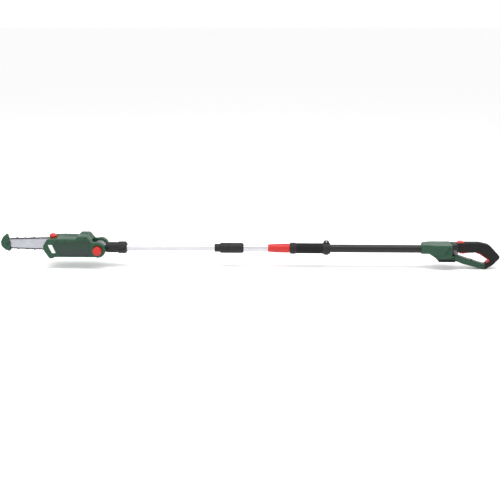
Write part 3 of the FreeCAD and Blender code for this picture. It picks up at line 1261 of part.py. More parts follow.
def make_pivot_button():
    """Round red button in the near ear that frees the pivot's teeth."""
    face_y = -EAR_OUTER - BUTTON_OUT
    body = rod_y(BUTTON_R, face_y, -EAR_OUTER + 5.0, PIVOT_X, 0)
    rim = [edge for edge in body.Edges if edge.BoundBox.YMax < face_y + 1e-3]
    return body.makeFillet(4.0, rim)


def make_pivot_spring():
    wire = 1.0
    low = -EAR_OUTER + 5.3
    high = -EAR_OUTER + 13.8
    turns = 4
    rings = []
    for i in range(turns + 1):
        y = low + (high - low - wire) * i / turns
        rings.append(rod_y(14.0, y, y + wire, PIVOT_X, 0).cut(rod_y(14.0 - wire, y - 1, y + 2, PIVOT_X, 0)))
    strip = box(PIVOT_X + 13.1, PIVOT_X + 13.8, low, high, -0.5, 0.5)
    return rings[0].fuse(rings[1:] + [strip])


def make_head_screws():
    screws = []
    for x, z in head_screw_places():
        near = -HEAD_NEAR + 0.8
        head = rod_y(3.4, near, near + 1.75, x, z)
        shank = rod_y(1.8, near + 1, BOSS_END - 1.5, x, z)
        slot = box(x - 2.2, x + 2.2, near - 1, near + 0.9, z - 0.5, z + 0.5)
        cross = box(x - 0.5, x + 0.5, near - 1, near + 0.9, z - 2.2, z + 2.2)
        screws.append(head.fuse(shank).cut([slot, cross]).removeSplitter())
    return Part.makeCompound(screws)


HEAD_PIECES = {
    "head_shell_left": make_head_shell_left,
    "head_shell_right": make_head_shell_right,
    "side_panel": make_side_panel,
    "sprocket_cover": make_sprocket_cover,
    "gearbox_plate": make_gearbox_plate,
    "bar_studs": make_bar_studs,
    "bar_nuts": make_bar_nuts,
    "guide_bar": make_guide_bar,
    "chain_drive_links": make_drive_links,
    "chain_tie_straps": make_tie_straps,
    "chain_cutters": make_cutters,
    "chain_rivets": make_chain_rivets,
    "nose_sprocket": make_nose_sprocket,
    "nose_guard": make_nose_guard,
    "nose_guard_screw": make_nose_guard_screw,
    "tension_block": make_tension_block,
    "tension_screw": make_tension_screw,
    "oil_tank": make_oil_tank,
    "oil_cap": make_oil_cap,
    "motor_can": make_motor_can,
    "motor_rotor": make_motor_rotor,
    "output_gear": make_output_gear,
    "output_shaft": make_output_shaft,
    "output_bearings": make_output_bearings,
    "drive_sprocket": make_drive_sprocket,
    "pivot_pin": make_pivot_pin,
    "pivot_button": make_pivot_button,
    "pivot_spring": make_pivot_spring,
    "head_screws": make_head_screws,
}

POLE_PIECES = {
    "outer_tube": make_outer_tube,
    "grip_body": make_grip_body,
    "grip_front_ring": make_grip_front_ring,
    "strap_ring": make_strap_ring,
    "strap_ring_screw": make_strap_ring_screw,
    "telescope_nut": make_telescope_nut,
    "telescope_collet": make_telescope_collet,
    "inner_tube": make_inner_tube,
    "coupler_body": make_coupler_body,
    "coupler_nut": make_coupler_nut,
    "front_tube": make_front_tube,
    "head_collar": make_head_collar,
    "collar_screws": make_collar_screws,
    "pivot_knuckle": make_pivot_knuckle,
}

for piece_name, make in (POLE_PIECES | HANDLE_PIECES | HEAD_PIECES).items():
    save(make(), piece_name)
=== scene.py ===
import json
import math

import bmesh
import bpy
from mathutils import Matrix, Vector

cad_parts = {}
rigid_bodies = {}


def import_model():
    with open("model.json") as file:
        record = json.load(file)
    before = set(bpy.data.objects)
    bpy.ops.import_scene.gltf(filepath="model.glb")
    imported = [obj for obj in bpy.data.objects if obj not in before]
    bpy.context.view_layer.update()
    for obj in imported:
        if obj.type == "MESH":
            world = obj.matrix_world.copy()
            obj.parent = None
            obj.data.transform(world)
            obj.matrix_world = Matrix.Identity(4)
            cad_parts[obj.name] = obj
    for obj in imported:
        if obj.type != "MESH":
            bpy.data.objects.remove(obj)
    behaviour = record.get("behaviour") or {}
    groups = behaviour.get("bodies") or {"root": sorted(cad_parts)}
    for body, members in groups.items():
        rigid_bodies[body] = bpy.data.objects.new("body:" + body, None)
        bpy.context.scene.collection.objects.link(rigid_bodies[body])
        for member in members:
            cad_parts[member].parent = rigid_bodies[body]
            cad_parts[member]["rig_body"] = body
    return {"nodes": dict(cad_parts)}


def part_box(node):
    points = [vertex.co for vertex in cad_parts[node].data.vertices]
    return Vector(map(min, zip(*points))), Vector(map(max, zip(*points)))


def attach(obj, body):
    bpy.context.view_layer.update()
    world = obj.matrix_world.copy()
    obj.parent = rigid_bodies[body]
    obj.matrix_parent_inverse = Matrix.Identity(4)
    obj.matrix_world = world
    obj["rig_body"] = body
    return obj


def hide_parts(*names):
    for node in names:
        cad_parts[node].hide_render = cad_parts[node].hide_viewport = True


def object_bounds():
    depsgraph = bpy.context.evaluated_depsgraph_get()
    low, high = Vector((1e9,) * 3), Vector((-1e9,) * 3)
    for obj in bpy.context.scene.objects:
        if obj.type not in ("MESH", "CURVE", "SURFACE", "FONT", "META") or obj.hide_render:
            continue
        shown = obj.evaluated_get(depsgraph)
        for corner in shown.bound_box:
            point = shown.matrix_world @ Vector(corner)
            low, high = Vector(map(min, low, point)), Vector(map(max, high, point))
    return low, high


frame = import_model()
cad_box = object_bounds()

# ---- Studio ---------------------------------------------------------------------------------------------
# A very pale floor that runs out to the horizon, one large soft box overhead and two paler ones at the
# sides. The camera stands level with the tool's middle, a little above it, and looks squarely at its side.

FLOOR_COLOUR = "#fbfbfb"
FLOOR_HALF = 30.0
CAMERA_LENS_MM = 52.0
CAMERA_DISTANCE = 3.195
CAMERA_ELEVATION = math.radians(19.0)
CAMERA_AZIMUTH = math.radians(1.0)
AIM_FROM_MIDDLE = Vector((0.008, 0.0, 0.003))
OVERHEAD_WATTS = 42.0
SIDE_WATTS = 12.0
CLIP_END = 200.0


def linear(hex_colour):
    """An sRGB hex colour as linear RGBA."""
    channels = [int(hex_colour[i:i + 2], 16) / 255 for i in (1, 3, 5)]
    return tuple(c / 12.92 if c <= 0.04045 else ((c + 0.055) / 1.055) ** 2.4 for c in channels) + (1.0,)


def add(tree, kind, settings=None, values=None, links=None):
    """Adds one node with its settings, its sockets' own values, and the links that come into it."""
    made = tree.nodes.new(kind)
    for name, value in (settings or {}).items():
        setattr(made, name, value)
    for socket, value in (values or {}).items():
        made.inputs[socket].default_value = value
    for socket, source in (links or {}).items():
        tree.links.new(source, made.inputs[socket])
    return made


def begin(name):
    """A new material's empty tree, and the Object coordinates that its patterns read."""
    material = bpy.data.materials.new(name)
    material.use_nodes = True
    material.node_tree.nodes.clear()
    place = add(material.node_tree, "ShaderNodeTexCoord").outputs["Object"]
    return material, material.node_tree, place


def per_mm(size):
    """Texture scale that repeats about once in a size given in millimetres."""
    return 1000.0 / size


def surface(tree, values, links):
    """Closes a material with its shader and output."""
    shader = add(tree, "ShaderNodeBsdfPrincipled", values=values, links=links)
    add(tree, "ShaderNodeOutputMaterial", links={"Surface": shader.outputs[0]})


def studio_floor_paint():
    # Matt studio paint: rolled on, so it has a faint stipple and no gloss.
    material, tree, place = begin("studio_floor_paint")
    stipple = add(tree, "ShaderNodeTexNoise", values={"Scale": per_mm(6.0), "Detail": 2.0},
                  links={"Vector": place})
    bump = add(tree, "ShaderNodeBump", values={"Strength": 0.05, "Distance": 0.0005},
               links={"Height": stipple.outputs[0]})
    surface(tree, {"Base Color": linear(FLOOR_COLOUR), "Roughness": 0.9, "Specular IOR Level": 0.1},
            {"Normal": bump.outputs[0]})
    return material


def object_of(name, mesh):
    """A scene object at the origin that shows a mesh."""
    made = bpy.data.objects.new(name, mesh)
    bpy.context.scene.collection.objects.link(made)
    return made


low, high = cad_box
floor_mesh = bpy.data.meshes.new("studio_floor")
floor_mesh.from_pydata([(x, y, low.z) for x, y in ((-FLOOR_HALF, -FLOOR_HALF), (FLOOR_HALF, -FLOOR_HALF),
                                                   (FLOOR_HALF, FLOOR_HALF), (-FLOOR_HALF, FLOOR_HALF))],
                       [], [(0, 1, 2, 3)])
floor_mesh.materials.append(studio_floor_paint())
object_of("studio_floor", floor_mesh)

world = bpy.data.worlds.new("studio_air")
world.use_nodes = True
world.node_tree.nodes["Background"].inputs["Color"].default_value = linear("#ffffff")
world.node_tree.nodes["Background"].inputs["Strength"].default_value = 1.0
bpy.context.scene.world = world
bpy.context.scene.view_settings.view_transform = "Standard"

middle = Vector(((low.x + high.x) / 2, 0.0, (low.z + high.z) / 2))


def soft_box(name, place, width, height, watts):
    """A rectangular light that faces the tool's middle."""
    lamp = bpy.data.lights.new(name, "AREA")
    lamp.shape = "RECTANGLE"
    lamp.size = width
    lamp.size_y = height
    lamp.energy = watts
    made = bpy.data.objects.new(name, lamp)
    bpy.context.scene.collection.objects.link(made)
    made.location = place
    made.rotation_euler = (middle - place).to_track_quat("-Z", "Y").to_euler()


soft_box("overhead_soft_box", middle + Vector((0.0, -0.3, 2.0)), 3.4, 0.7, OVERHEAD_WATTS)
soft_box("front_soft_box", middle + Vector((-1.2, -3.0, 1.2)), 2.0, 0.8, SIDE_WATTS)
soft_box("rear_soft_box", middle + Vector((0.8, 2.6, 1.6)), 2.4, 0.8, SIDE_WATTS)

camera_data = bpy.data.cameras.new("side_camera")
camera_data.lens = CAMERA_LENS_MM
camera = bpy.data.objects.new("side_camera", camera_data)
bpy.context.scene.collection.objects.link(camera)
back = Vector((math.sin(CAMERA_AZIMUTH) * math.cos(CAMERA_ELEVATION),
               -math.cos(CAMERA_AZIMUTH) * math.cos(CAMERA_ELEVATION), math.sin(CAMERA_ELEVATION)))
camera.location = middle + AIM_FROM_MIDDLE + back * CAMERA_DISTANCE
camera.rotation_euler = (-back).to_track_quat("-Z", "Y").to_euler()
camera_data.clip_end = CLIP_END
bpy.context.scene.camera = camera

# ---- Finished pieces ------------------------------------------------------------------------------------
# Moulded and machined pieces have no knife edges: each is carried over from its CAD solid with its flat
# faces made whole and its corners broken by the radius that its mould or its deburring leaves.

CREASE = math.radians(32.0)
FLAT_WITHIN = math.radians(0.6)
WELD = 2e-6


def whole_faces(node):
    """The CAD piece as a merged mesh, with its triangles joined into flat faces."""
    shape = bmesh.new()
    shape.from_mesh(frame["nodes"][node].data)
    bmesh.ops.remove_doubles(shape, verts=shape.verts, dist=WELD)
    bmesh.ops.dissolve_limit(shape, angle_limit=FLAT_WITHIN, use_dissolve_boundaries=False,
                             verts=shape.verts, edges=shape.edges)
    return shape


def stands_for(piece, *nodes):
    """Sets a finished piece on the body of the CAD nodes that it stands for."""
    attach(piece, frame["nodes"][nodes[0]]["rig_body"])
    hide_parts(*nodes)


def plain_mesh(piece):
    """Bakes a piece's modifiers into its mesh."""
    seen = piece.evaluated_get(bpy.context.evaluated_depsgraph_get())
    done = bpy.data.meshes.new_from_object(seen)
    piece.modifiers.clear()
    piece.data = done


def finished(node, material, edge_mm, steps=2):
    """A CAD piece with its sharp edges rounded, which stands for it."""
    shape = whole_faces(node)
    mesh = bpy.data.meshes.new(node + "_finished")
    shape.to_mesh(mesh)
    shape.free()
    mesh.materials.append(material)
    mesh.shade_smooth()
    piece = object_of(node + "_finished", mesh)
    rounding = piece.modifiers.new("edges", "BEVEL")
    rounding.width = edge_mm / 1000
    rounding.segments = steps
    rounding.limit_method = "ANGLE"
    rounding.angle_limit = CREASE
    rounding.use_clamp_overlap = True
    rounding.harden_normals = True
    plain_mesh(piece)
    stands_for(piece, node)
    return piece


def finish_in(material, *nodes):
    """Gives CAD pieces whose shape is right their material."""
    for node in nodes:
        slots = frame["nodes"][node].data.materials
        slots.clear()
        slots.append(material)


def node_tool(name, inputs):
    """A Geometry Nodes tree with named inputs after its mesh, and the sockets' identifiers."""
    tree = bpy.data.node_groups.new(name, "GeometryNodeTree")
    tree.interface.new_socket("Geometry", in_out="INPUT", socket_type="NodeSocketGeometry")
    tree.interface.new_socket("Geometry", in_out="OUTPUT", socket_type="NodeSocketGeometry")
    keys = {label: tree.interface.new_socket(label, in_out="INPUT", socket_type=kind).identifier
            for label, kind in inputs.items()}
    return tree, add(tree, "NodeGroupInput"), keys


def end_tool(tree, geometry, material):
    """Closes a Geometry Nodes tree: real geometry, smooth, in its material."""
    real = add(tree, "GeometryNodeRealizeInstances", links={0: geometry})
    smooth = add(tree, "GeometryNodeSetShadeSmooth", links={0: real.outputs[0]})
    shown = add(tree, "GeometryNodeSetMaterial", values={"Material": material},
                links={0: smooth.outputs[0]})
    add(tree, "NodeGroupOutput", links={0: shown.outputs[0]})


def grown(node, start, tree, keys, values):
    """A piece that a Geometry Nodes tree makes, which stands for a CAD node."""
    piece = object_of(node + "_made", start)
    tool = piece.modifiers.new("made", "NODES")
    tool.node_group = tree
    for label, value in values.items():
        tool[keys[label]] = value
    plain_mesh(piece)
    stands_for(piece, node)
    return piece


# ---- Outer tube -----------------------------------------------------------------------------------------
# The fixed tube of the pole: drawn aluminium, powder coated black. The coat is sprayed dry and baked, so it
# keeps a slight orange peel along the whole length.

TUBE_BLACK = "#08090a"
TUBE_BLACK_WORN = "#0f1011"


def powder_coat_black():
    # Baked powder coat: deep black with a soft gloss line, and an orange peel about 1.5 mm across.
    material, tree, place = begin("powder_coat_black")
    peel = add(tree, "ShaderNodeTexNoise", values={"Scale": per_mm(1.5), "Detail": 2.0},
               links={"Vector": place})
    cloud = add(tree, "ShaderNodeTexNoise", values={"Scale": per_mm(70.0), "Detail": 4.0},
                links={"Vector": place})
    colour = add(tree, "ShaderNodeMix", {"data_type": "RGBA"},
                 {6: linear(TUBE_BLACK), 7: linear(TUBE_BLACK_WORN)}, {0: cloud.outputs[0]})
    rough = add(tree, "ShaderNodeMapRange", values={"To Min": 0.3, "To Max": 0.42},
                links={0: cloud.outputs[0]})
    bump = add(tree, "ShaderNodeBump", values={"Strength": 0.12, "Distance": 0.00008},
               links={"Height": peel.outputs[0]})
    surface(tree, {"IOR": 1.5, "Specular IOR Level": 0.4},
            {"Base Color": colour.outputs[2], "Roughness": rough.outputs[0], "Normal": bump.outputs[0]})
    return material


finish_in(powder_coat_black(), "outer_tube")

# ---- Black moulded pieces -------------------------------------------------------------------------------
# Collars, rings, coupler and battery are injection moulded in glass-filled nylon, which comes out of a
# spark-eroded mould with an even matt grain.

NYLON_BLACK = "#0a0b0c"
NYLON_GREY = "#131415"


def glass_filled_nylon():
    # Moulded nylon with glass: near-black, dry sheen, grain 0.6 mm drawn at 0.9 mm so that it shows.
    material, tree, place = begin("glass_filled_nylon")
    grain = add(tree, "ShaderNodeTexNoise", values={"Scale": per_mm(0.9), "Detail": 3.0},
                links={"Vector": place})
    flow = add(tree, "ShaderNodeTexNoise", values={"Scale": per_mm(28.0), "Detail": 5.0, "Distortion": 0.6},
               links={"Vector": place})
    colour = add(tree, "ShaderNodeMix", {"data_type": "RGBA"},
                 {6: linear(NYLON_BLACK), 7: linear(NYLON_GREY)}, {0: flow.outputs[0]})
    rough = add(tree, "ShaderNodeMapRange", values={"To Min": 0.42, "To Max": 0.6},
                links={0: grain.outputs[0]})
    bump = add(tree, "ShaderNodeBump", values={"Strength": 0.2, "Distance": 0.00012},
               links={"Height": grain.outputs[0]})
    surface(tree, {"IOR": 1.53, "Specular IOR Level": 0.32},
            {"Base Color": colour.outputs[2], "Roughness": rough.outputs[0], "Normal": bump.outputs[0]})
    return material


NYLON = glass_filled_nylon()
finished("grip_front_ring", NYLON, 0.8)
finished("strap_ring", NYLON, 0.6)
finished("coupler_body", NYLON, 0.6)
finished("coupler_nut", NYLON, 0.6)
finished("head_collar", NYLON, 0.6)
finished("grip_base", NYLON, 0.6)
finished("battery_case", NYLON, 0.6)
finished("battery_latch", NYLON, 0.4)
finish_in(NYLON, "telescope_collet", "switch_module", "battery_dock")

# ---- Soft grips -----------------------------------------------------------------------------------------
# The sleeve on the pole and the skin of the rear grip are a thermoplastic rubber moulded over the tube and
# over the nylon core, warm and matt to the hand.

RUBBER_BLACK = "#080809"
RUBBER_BLOOM = "#111112"


def soft_rubber_skin():
    # Overmoulded thermoplastic rubber: very matt, with a fine pebble and a grey bloom where hands rub it.
    material, tree, place = begin("soft_rubber_skin")
    pebble = add(tree, "ShaderNodeTexVoronoi", values={"Scale": per_mm(1.3)}, links={"Vector": place})
    bloom = add(tree, "ShaderNodeTexNoise", values={"Scale": per_mm(45.0), "Detail": 6.0},
                links={"Vector": place})
    colour = add(tree, "ShaderNodeMix", {"data_type": "RGBA"},
                 {6: linear(RUBBER_BLACK), 7: linear(RUBBER_BLOOM)}, {0: bloom.outputs[0]})
    rough = add(tree, "ShaderNodeMapRange", values={"To Min": 0.55, "To Max": 0.72},
                links={0: bloom.outputs[0]})
    bump = add(tree, "ShaderNodeBump", values={"Strength": 0.18, "Distance": 0.00012},
               links={"Height": pebble.outputs[0]})
    surface(tree, {"IOR": 1.47, "Specular IOR Level": 0.3},
            {"Base Color": colour.outputs[2], "Roughness": rough.outputs[0], "Normal": bump.outputs[0]})
    return material


RUBBER = soft_rubber_skin()
finished("grip_body", RUBBER, 0.5)
finished("soft_grip", RUBBER, 0.8)

# ---- Green housings -------------------------------------------------------------------------------------
# Handle shells, head shells, sprocket cover and nose guard are injection moulded in one dark green ABS,
# screwed together in halves. The mould is stoned to a satin finish.

ABS_GREEN = "#12442c"
ABS_GREEN_DEEP = "#0e3924"


def satin_green_abs():
    # Moulded ABS in body green: satin gloss with a soft highlight, faint flow marks, grain 0.8 mm.
    material, tree, place = begin("satin_green_abs")
    grain = add(tree, "ShaderNodeTexNoise", values={"Scale": per_mm(0.8), "Detail": 2.0},
                links={"Vector": place})
    flow = add(tree, "ShaderNodeTexNoise", values={"Scale": per_mm(55.0), "Detail": 5.0, "Distortion": 0.8},
               links={"Vector": place})
    colour = add(tree, "ShaderNodeMix", {"data_type": "RGBA"},
                 {6: linear(ABS_GREEN), 7: linear(ABS_GREEN_DEEP)}, {0: flow.outputs[0]})
    rough = add(tree, "ShaderNodeMapRange", values={"To Min": 0.28, "To Max": 0.4},
                links={0: flow.outputs[0]})
    bump = add(tree, "ShaderNodeBump", values={"Strength": 0.1, "Distance": 0.00008},
               links={"Height": grain.outputs[0]})
    surface(tree, {"IOR": 1.54, "Specular IOR Level": 0.35},
            {"Base Color": colour.outputs[2], "Roughness": rough.outputs[0], "Normal": bump.outputs[0]})
    return material


GREEN = satin_green_abs()
finished("handle_shell_left", GREEN, 0.8)
finished("handle_shell_right", GREEN, 0.8)
finished("head_shell_left", GREEN, 0.8)
finished("head_shell_right", GREEN, 0.8)
finished("sprocket_cover", GREEN, 0.8)
finished("nose_guard", GREEN, 0.6)

# ---- Red controls ---------------------------------------------------------------------------------------
# Everything that the hand turns, presses or opens is moulded in red ABS, polished more than the housings:
# telescope nut, oil cap, pivot button, lock-off button, trigger, and the band round the grip.

ABS_RED = "#c01a14"
ABS_RED_DEEP = "#a81510"


def polished_red_abs():
    # Moulded ABS in signal red: glossy, slightly deeper where the melt met, grain too fine to see.
    material, tree, place = begin("polished_red_abs")
    flow = add(tree, "ShaderNodeTexNoise", values={"Scale": per_mm(24.0), "Detail": 4.0, "Distortion": 0.5},
               links={"Vector": place})
    grain = add(tree, "ShaderNodeTexNoise", values={"Scale": per_mm(1.0), "Detail": 2.0},
                links={"Vector": place})
    colour = add(tree, "ShaderNodeMix", {"data_type": "RGBA"},
                 {6: linear(ABS_RED), 7: linear(ABS_RED_DEEP)}, {0: flow.outputs[0]})
    rough = add(tree, "ShaderNodeMapRange", values={"To Min": 0.24, "To Max": 0.36},
                links={0: flow.outputs[0]})
    bump = add(tree, "ShaderNodeBump", values={"Strength": 0.06, "Distance": 0.00008},
               links={"Height": grain.outputs[0]})
    surface(tree, {"IOR": 1.54, "Specular IOR Level": 0.4, "Subsurface Weight": 0.03,
                   "Subsurface Radius": (0.002, 0.0006, 0.0004)},
            {"Base Color": colour.outputs[2], "Roughness": rough.outputs[0], "Normal": bump.outputs[0]})
    return material


RED = polished_red_abs()
finished("telescope_nut", RED, 0.6)
finished("oil_cap", RED, 0.5)
finished("pivot_button", RED, 0.6)
finished("lock_off_button", RED, 0.5)
finished("trigger", RED, 0.6)
finished("grip_trim", RED, 0.4)

# ---- Bare tubes -----------------------------------------------------------------------------------------
# The inner tube and the front tube are drawn aluminium, clear anodised. The die leaves fine lines along
# the tube, so its highlight is a long, slightly broken band.

ALUMINIUM = "#c9cacd"
ALUMINIUM_SHADE = "#b4b6ba"


def drawn_anodised_aluminium():
    # Drawn tube with clear anodising: satin silver, lines 0.5 mm apart that run the length of the tube.
    material, tree, place = begin("drawn_anodised_aluminium")
    stretch = add(tree, "ShaderNodeMapping", values={"Scale": (per_mm(900.0), per_mm(0.5), per_mm(0.5))},
                  links={"Vector": place})
    lines = add(tree, "ShaderNodeTexNoise", values={"Scale": 1.0, "Detail": 4.0},
                links={"Vector": stretch.outputs[0]})
    film = add(tree, "ShaderNodeTexNoise", values={"Scale": per_mm(90.0), "Detail": 3.0},
               links={"Vector": place})
    colour = add(tree, "ShaderNodeMix", {"data_type": "RGBA"},
                 {6: linear(ALUMINIUM), 7: linear(ALUMINIUM_SHADE)}, {0: film.outputs[0]})
    rough = add(tree, "ShaderNodeMapRange", values={"To Min": 0.24, "To Max": 0.4},
                links={0: lines.outputs[0]})
    bump = add(tree, "ShaderNodeBump", values={"Strength": 0.1, "Distance": 0.00004},
               links={"Height": lines.outputs[0]})
    surface(tree, {"Metallic": 1.0}, {"Base Color": colour.outputs[2], "Roughness": rough.outputs[0],
                                      "Normal": bump.outputs[0]})
    return material


finish_in(drawn_anodised_aluminium(), "inner_tube", "front_tube")

# ---- Cast knuckle and gearbox plate ---------------------------------------------------------------------
# The pivot's knuckle and the plate that carries the bar are die-cast aluminium, tumbled and left bare.

CAST_GREY = "#9fa1a4"
CAST_DARK = "#7f8184"


def die_cast_aluminium():
    # Tumbled die casting: dull silver-grey, soft dimples 1.2 mm across, darker in its flow marks.
    material, tree, place = begin("die_cast_aluminium")
    dimple = add(tree, "ShaderNodeTexVoronoi", {"feature": "SMOOTH_F1"}, {"Scale": per_mm(1.2)},
                 {"Vector": place})
    flow = add(tree, "ShaderNodeTexNoise", values={"Scale": per_mm(14.0), "Detail": 6.0, "Distortion": 1.2},
               links={"Vector": place})
    colour = add(tree, "ShaderNodeMix", {"data_type": "RGBA"},
                 {6: linear(CAST_GREY), 7: linear(CAST_DARK)}, {0: flow.outputs[0]})
    rough = add(tree, "ShaderNodeMapRange", values={"To Min": 0.4, "To Max": 0.6},
                links={0: flow.outputs[0]})
    bump = add(tree, "ShaderNodeBump", values={"Strength": 0.2, "Distance": 0.0001},
               links={"Height": dimple.outputs[0]})
    surface(tree, {"Metallic": 1.0}, {"Base Color": colour.outputs[2], "Roughness": rough.outputs[0],
                                      "Normal": bump.outputs[0]})
    return material


CASTING = die_cast_aluminium()
finished("pivot_knuckle", CASTING, 0.6)
finished("gearbox_plate", CASTING, 0.3)

# ---- Guide bar ------------------------------------------------------------------------------------------
# The bar is three steel plates spot welded together, ground flat lengthwise and lightly lacquered, so it is
# pale with a faint violet cast. The chain polishes its rails.

BAR_STEEL = "#b6b7be"
BAR_STEEL_SHADE = "#9fa0a8"


def ground_bar_steel():
    # Ground and lacquered steel: pale, satin, with grinding lines 0.4 mm apart along the bar.
    material, tree, place = begin("ground_bar_steel")
    stretch = add(tree, "ShaderNodeMapping", values={"Scale": (per_mm(60.0), per_mm(0.4), per_mm(0.4))},
                  links={"Vector": place})
    lines = add(tree, "ShaderNodeTexNoise", values={"Scale": 1.0, "Detail": 5.0},
                links={"Vector": stretch.outputs[0]})
    smear = add(tree, "ShaderNodeTexNoise", values={"Scale": per_mm(40.0), "Detail": 5.0, "Distortion": 1.0},
                links={"Vector": place})
    colour = add(tree, "ShaderNodeMix", {"data_type": "RGBA"},
                 {6: linear(BAR_STEEL), 7: linear(BAR_STEEL_SHADE)}, {0: smear.outputs[0]})
    rough = add(tree, "ShaderNodeMapRange", values={"To Min": 0.3, "To Max": 0.5},
                links={0: lines.outputs[0]})
    bump = add(tree, "ShaderNodeBump", values={"Strength": 0.12, "Distance": 0.00004},
               links={"Height": lines.outputs[0]})
    surface(tree, {"Metallic": 0.75, "Coat Weight": 0.3, "Coat Roughness": 0.2},
            {"Base Color": colour.outputs[2], "Roughness": rough.outputs[0], "Normal": bump.outputs[0]})
    return material


finished("guide_bar", ground_bar_steel(), 0.3)

# ---- Saw chain ------------------------------------------------------------------------------------------
# Drive links, tie straps and cutters are punched from steel strip, blued, and joined by peened rivets. The
# cutters' tops are plated with hard chrome, and oil keeps the whole chain dark and shiny.

CHAIN_BLUE = "#46474b"
CHAIN_DARK = "#2d2e31"
CHROME = "#8d8f94"


def oiled_chain_steel():
    # Blued and oiled steel strip: dark grey with a wet gloss, patches of oil 6 mm across.
    material, tree, place = begin("oiled_chain_steel")
    oil = add(tree, "ShaderNodeTexNoise", values={"Scale": per_mm(6.0), "Detail": 5.0},
              links={"Vector": place})
    strip = add(tree, "ShaderNodeTexNoise", values={"Scale": per_mm(0.6), "Detail": 2.0},
                links={"Vector": place})
    colour = add(tree, "ShaderNodeMix", {"data_type": "RGBA"},
                 {6: linear(CHAIN_BLUE), 7: linear(CHAIN_DARK)}, {0: oil.outputs[0]})
    rough = add(tree, "ShaderNodeMapRange", values={"To Min": 0.22, "To Max": 0.5},
                links={0: oil.outputs[0]})
    bump = add(tree, "ShaderNodeBump", values={"Strength": 0.15, "Distance": 0.00005},
               links={"Height": strip.outputs[0]})
    surface(tree, {"Metallic": 1.0}, {"Base Color": colour.outputs[2], "Roughness": rough.outputs[0],
                                      "Normal": bump.outputs[0]})
    return material


def chromed_cutter_steel():
    # Hard chrome over steel: grey and bright on the cutting tops, filed lines 0.3 mm apart.
    material, tree, place = begin("chromed_cutter_steel")
    filed = add(tree, "ShaderNodeTexWave", {"bands_direction": "DIAGONAL"},
                {"Scale": per_mm(2.0), "Distortion": 2.0, "Detail": 2.0}, {"Vector": place})
    stain = add(tree, "ShaderNodeTexNoise", values={"Scale": per_mm(5.0), "Detail": 4.0},
                links={"Vector": place})
    colour = add(tree, "ShaderNodeMix", {"data_type": "RGBA"},
                 {6: linear(CHROME), 7: linear(CHAIN_BLUE)}, {0: stain.outputs[0]})
    rough = add(tree, "ShaderNodeMapRange", values={"To Min": 0.2, "To Max": 0.42},
                links={0: stain.outputs[0]})
    bump = add(tree, "ShaderNodeBump", values={"Strength": 0.08, "Distance": 0.00004},
               links={"Height": filed.outputs[1]})
    surface(tree, {"Metallic": 1.0}, {"Base Color": colour.outputs[2], "Roughness": rough.outputs[0],
                                      "Normal": bump.outputs[0]})
    return material


CHAIN_STEEL = oiled_chain_steel()
finish_in(CHAIN_STEEL, "chain_drive_links", "chain_tie_straps")
finish_in(chromed_cutter_steel(), "chain_cutters")

# ---- Chain rivets ---------------------------------------------------------------------------------------
# Each joint of the chain is a rivet whose two ends are spun over into low domes, wider than the shank, so
# that the tie straps can't slip off. They catch the light as a row of dots along the bar.

RIVET_SHANK = 0.0017
RIVET_HEAD = 0.0021
RIVET_DOME = 0.00032


def island_middles(mesh):
    """The middle of each separate shell of a mesh."""
    owner = list(range(len(mesh.vertices)))

    def top_of(index):
        while owner[index] != index:
            owner[index] = owner[owner[index]]
            index = owner[index]
        return index

    for edge in mesh.edges:
        owner[top_of(edge.vertices[0])] = top_of(edge.vertices[1])
    shells = {}
    for vertex in mesh.vertices:
        shells.setdefault(top_of(vertex.index), []).append(vertex.co)
    middles = []
    for points in shells.values():
        middles.append([(min(p[i] for p in points) + max(p[i] for p in points)) / 2 for i in range(3)])
    return middles


def rivet_tool():
    tree, given, keys = node_tool("chain_rivet_heads", {"Shank radius": "NodeSocketFloat",
                                                        "Head radius": "NodeSocketFloat",
                                                        "Length": "NodeSocketFloat",
                                                        "Dome": "NodeSocketFloat"})
    shank = add(tree, "GeometryNodeMeshCylinder", values={"Vertices": 20},
                links={"Radius": given.outputs["Shank radius"], "Depth": given.outputs["Length"]})
    dome = add(tree, "GeometryNodeMeshUVSphere", values={"Segments": 20, "Rings": 10, "Radius": 1.0})
    size = add(tree, "ShaderNodeCombineXYZ", links={0: given.outputs["Head radius"],
                                                    1: given.outputs["Head radius"],
                                                    2: given.outputs["Dome"]})
    half = add(tree, "ShaderNodeMath", {"operation": "MULTIPLY"}, {1: 0.5}, {0: given.outputs["Length"]})
    other = add(tree, "ShaderNodeMath", {"operation": "MULTIPLY"}, {1: -0.5}, {0: given.outputs["Length"]})
    joined = add(tree, "GeometryNodeJoinGeometry")
    tree.links.new(shank.outputs["Mesh"], joined.inputs[0])
    for end in (half, other):
        place = add(tree, "ShaderNodeCombineXYZ", links={2: end.outputs[0]})
        head = add(tree, "GeometryNodeTransform",
                   links={"Geometry": dome.outputs["Mesh"], "Translation": place.outputs[0],
                          "Scale": size.outputs[0]})
        tree.links.new(head.outputs[0], joined.inputs[0])
    across = add(tree, "GeometryNodeTransform", values={"Rotation": (math.pi / 2, 0.0, 0.0)},
                 links={"Geometry": joined.outputs[0]})
    row = add(tree, "GeometryNodeInstanceOnPoints",
              links={"Points": given.outputs["Geometry"], "Instance": across.outputs[0]})
    end_tool(tree, row.outputs[0], CHAIN_STEEL)
    return tree, keys


def make_chain_rivets():
    source = whole_faces("chain_rivets")
    merged = bpy.data.meshes.new("chain_rivet_shells")
    source.to_mesh(merged)
    source.free()
    rivet_low, rivet_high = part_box("chain_rivets")
    points = bpy.data.meshes.new("chain_rivet_places")
    points.from_pydata(island_middles(merged), [], [])
    tree, keys = rivet_tool()
    length = rivet_high.y - rivet_low.y - 2 * RIVET_DOME
    grown("chain_rivets", points, tree, keys, {"Shank radius": RIVET_SHANK, "Head radius": RIVET_HEAD,
                                               "Length": length, "Dome": RIVET_DOME})


make_chain_rivets()

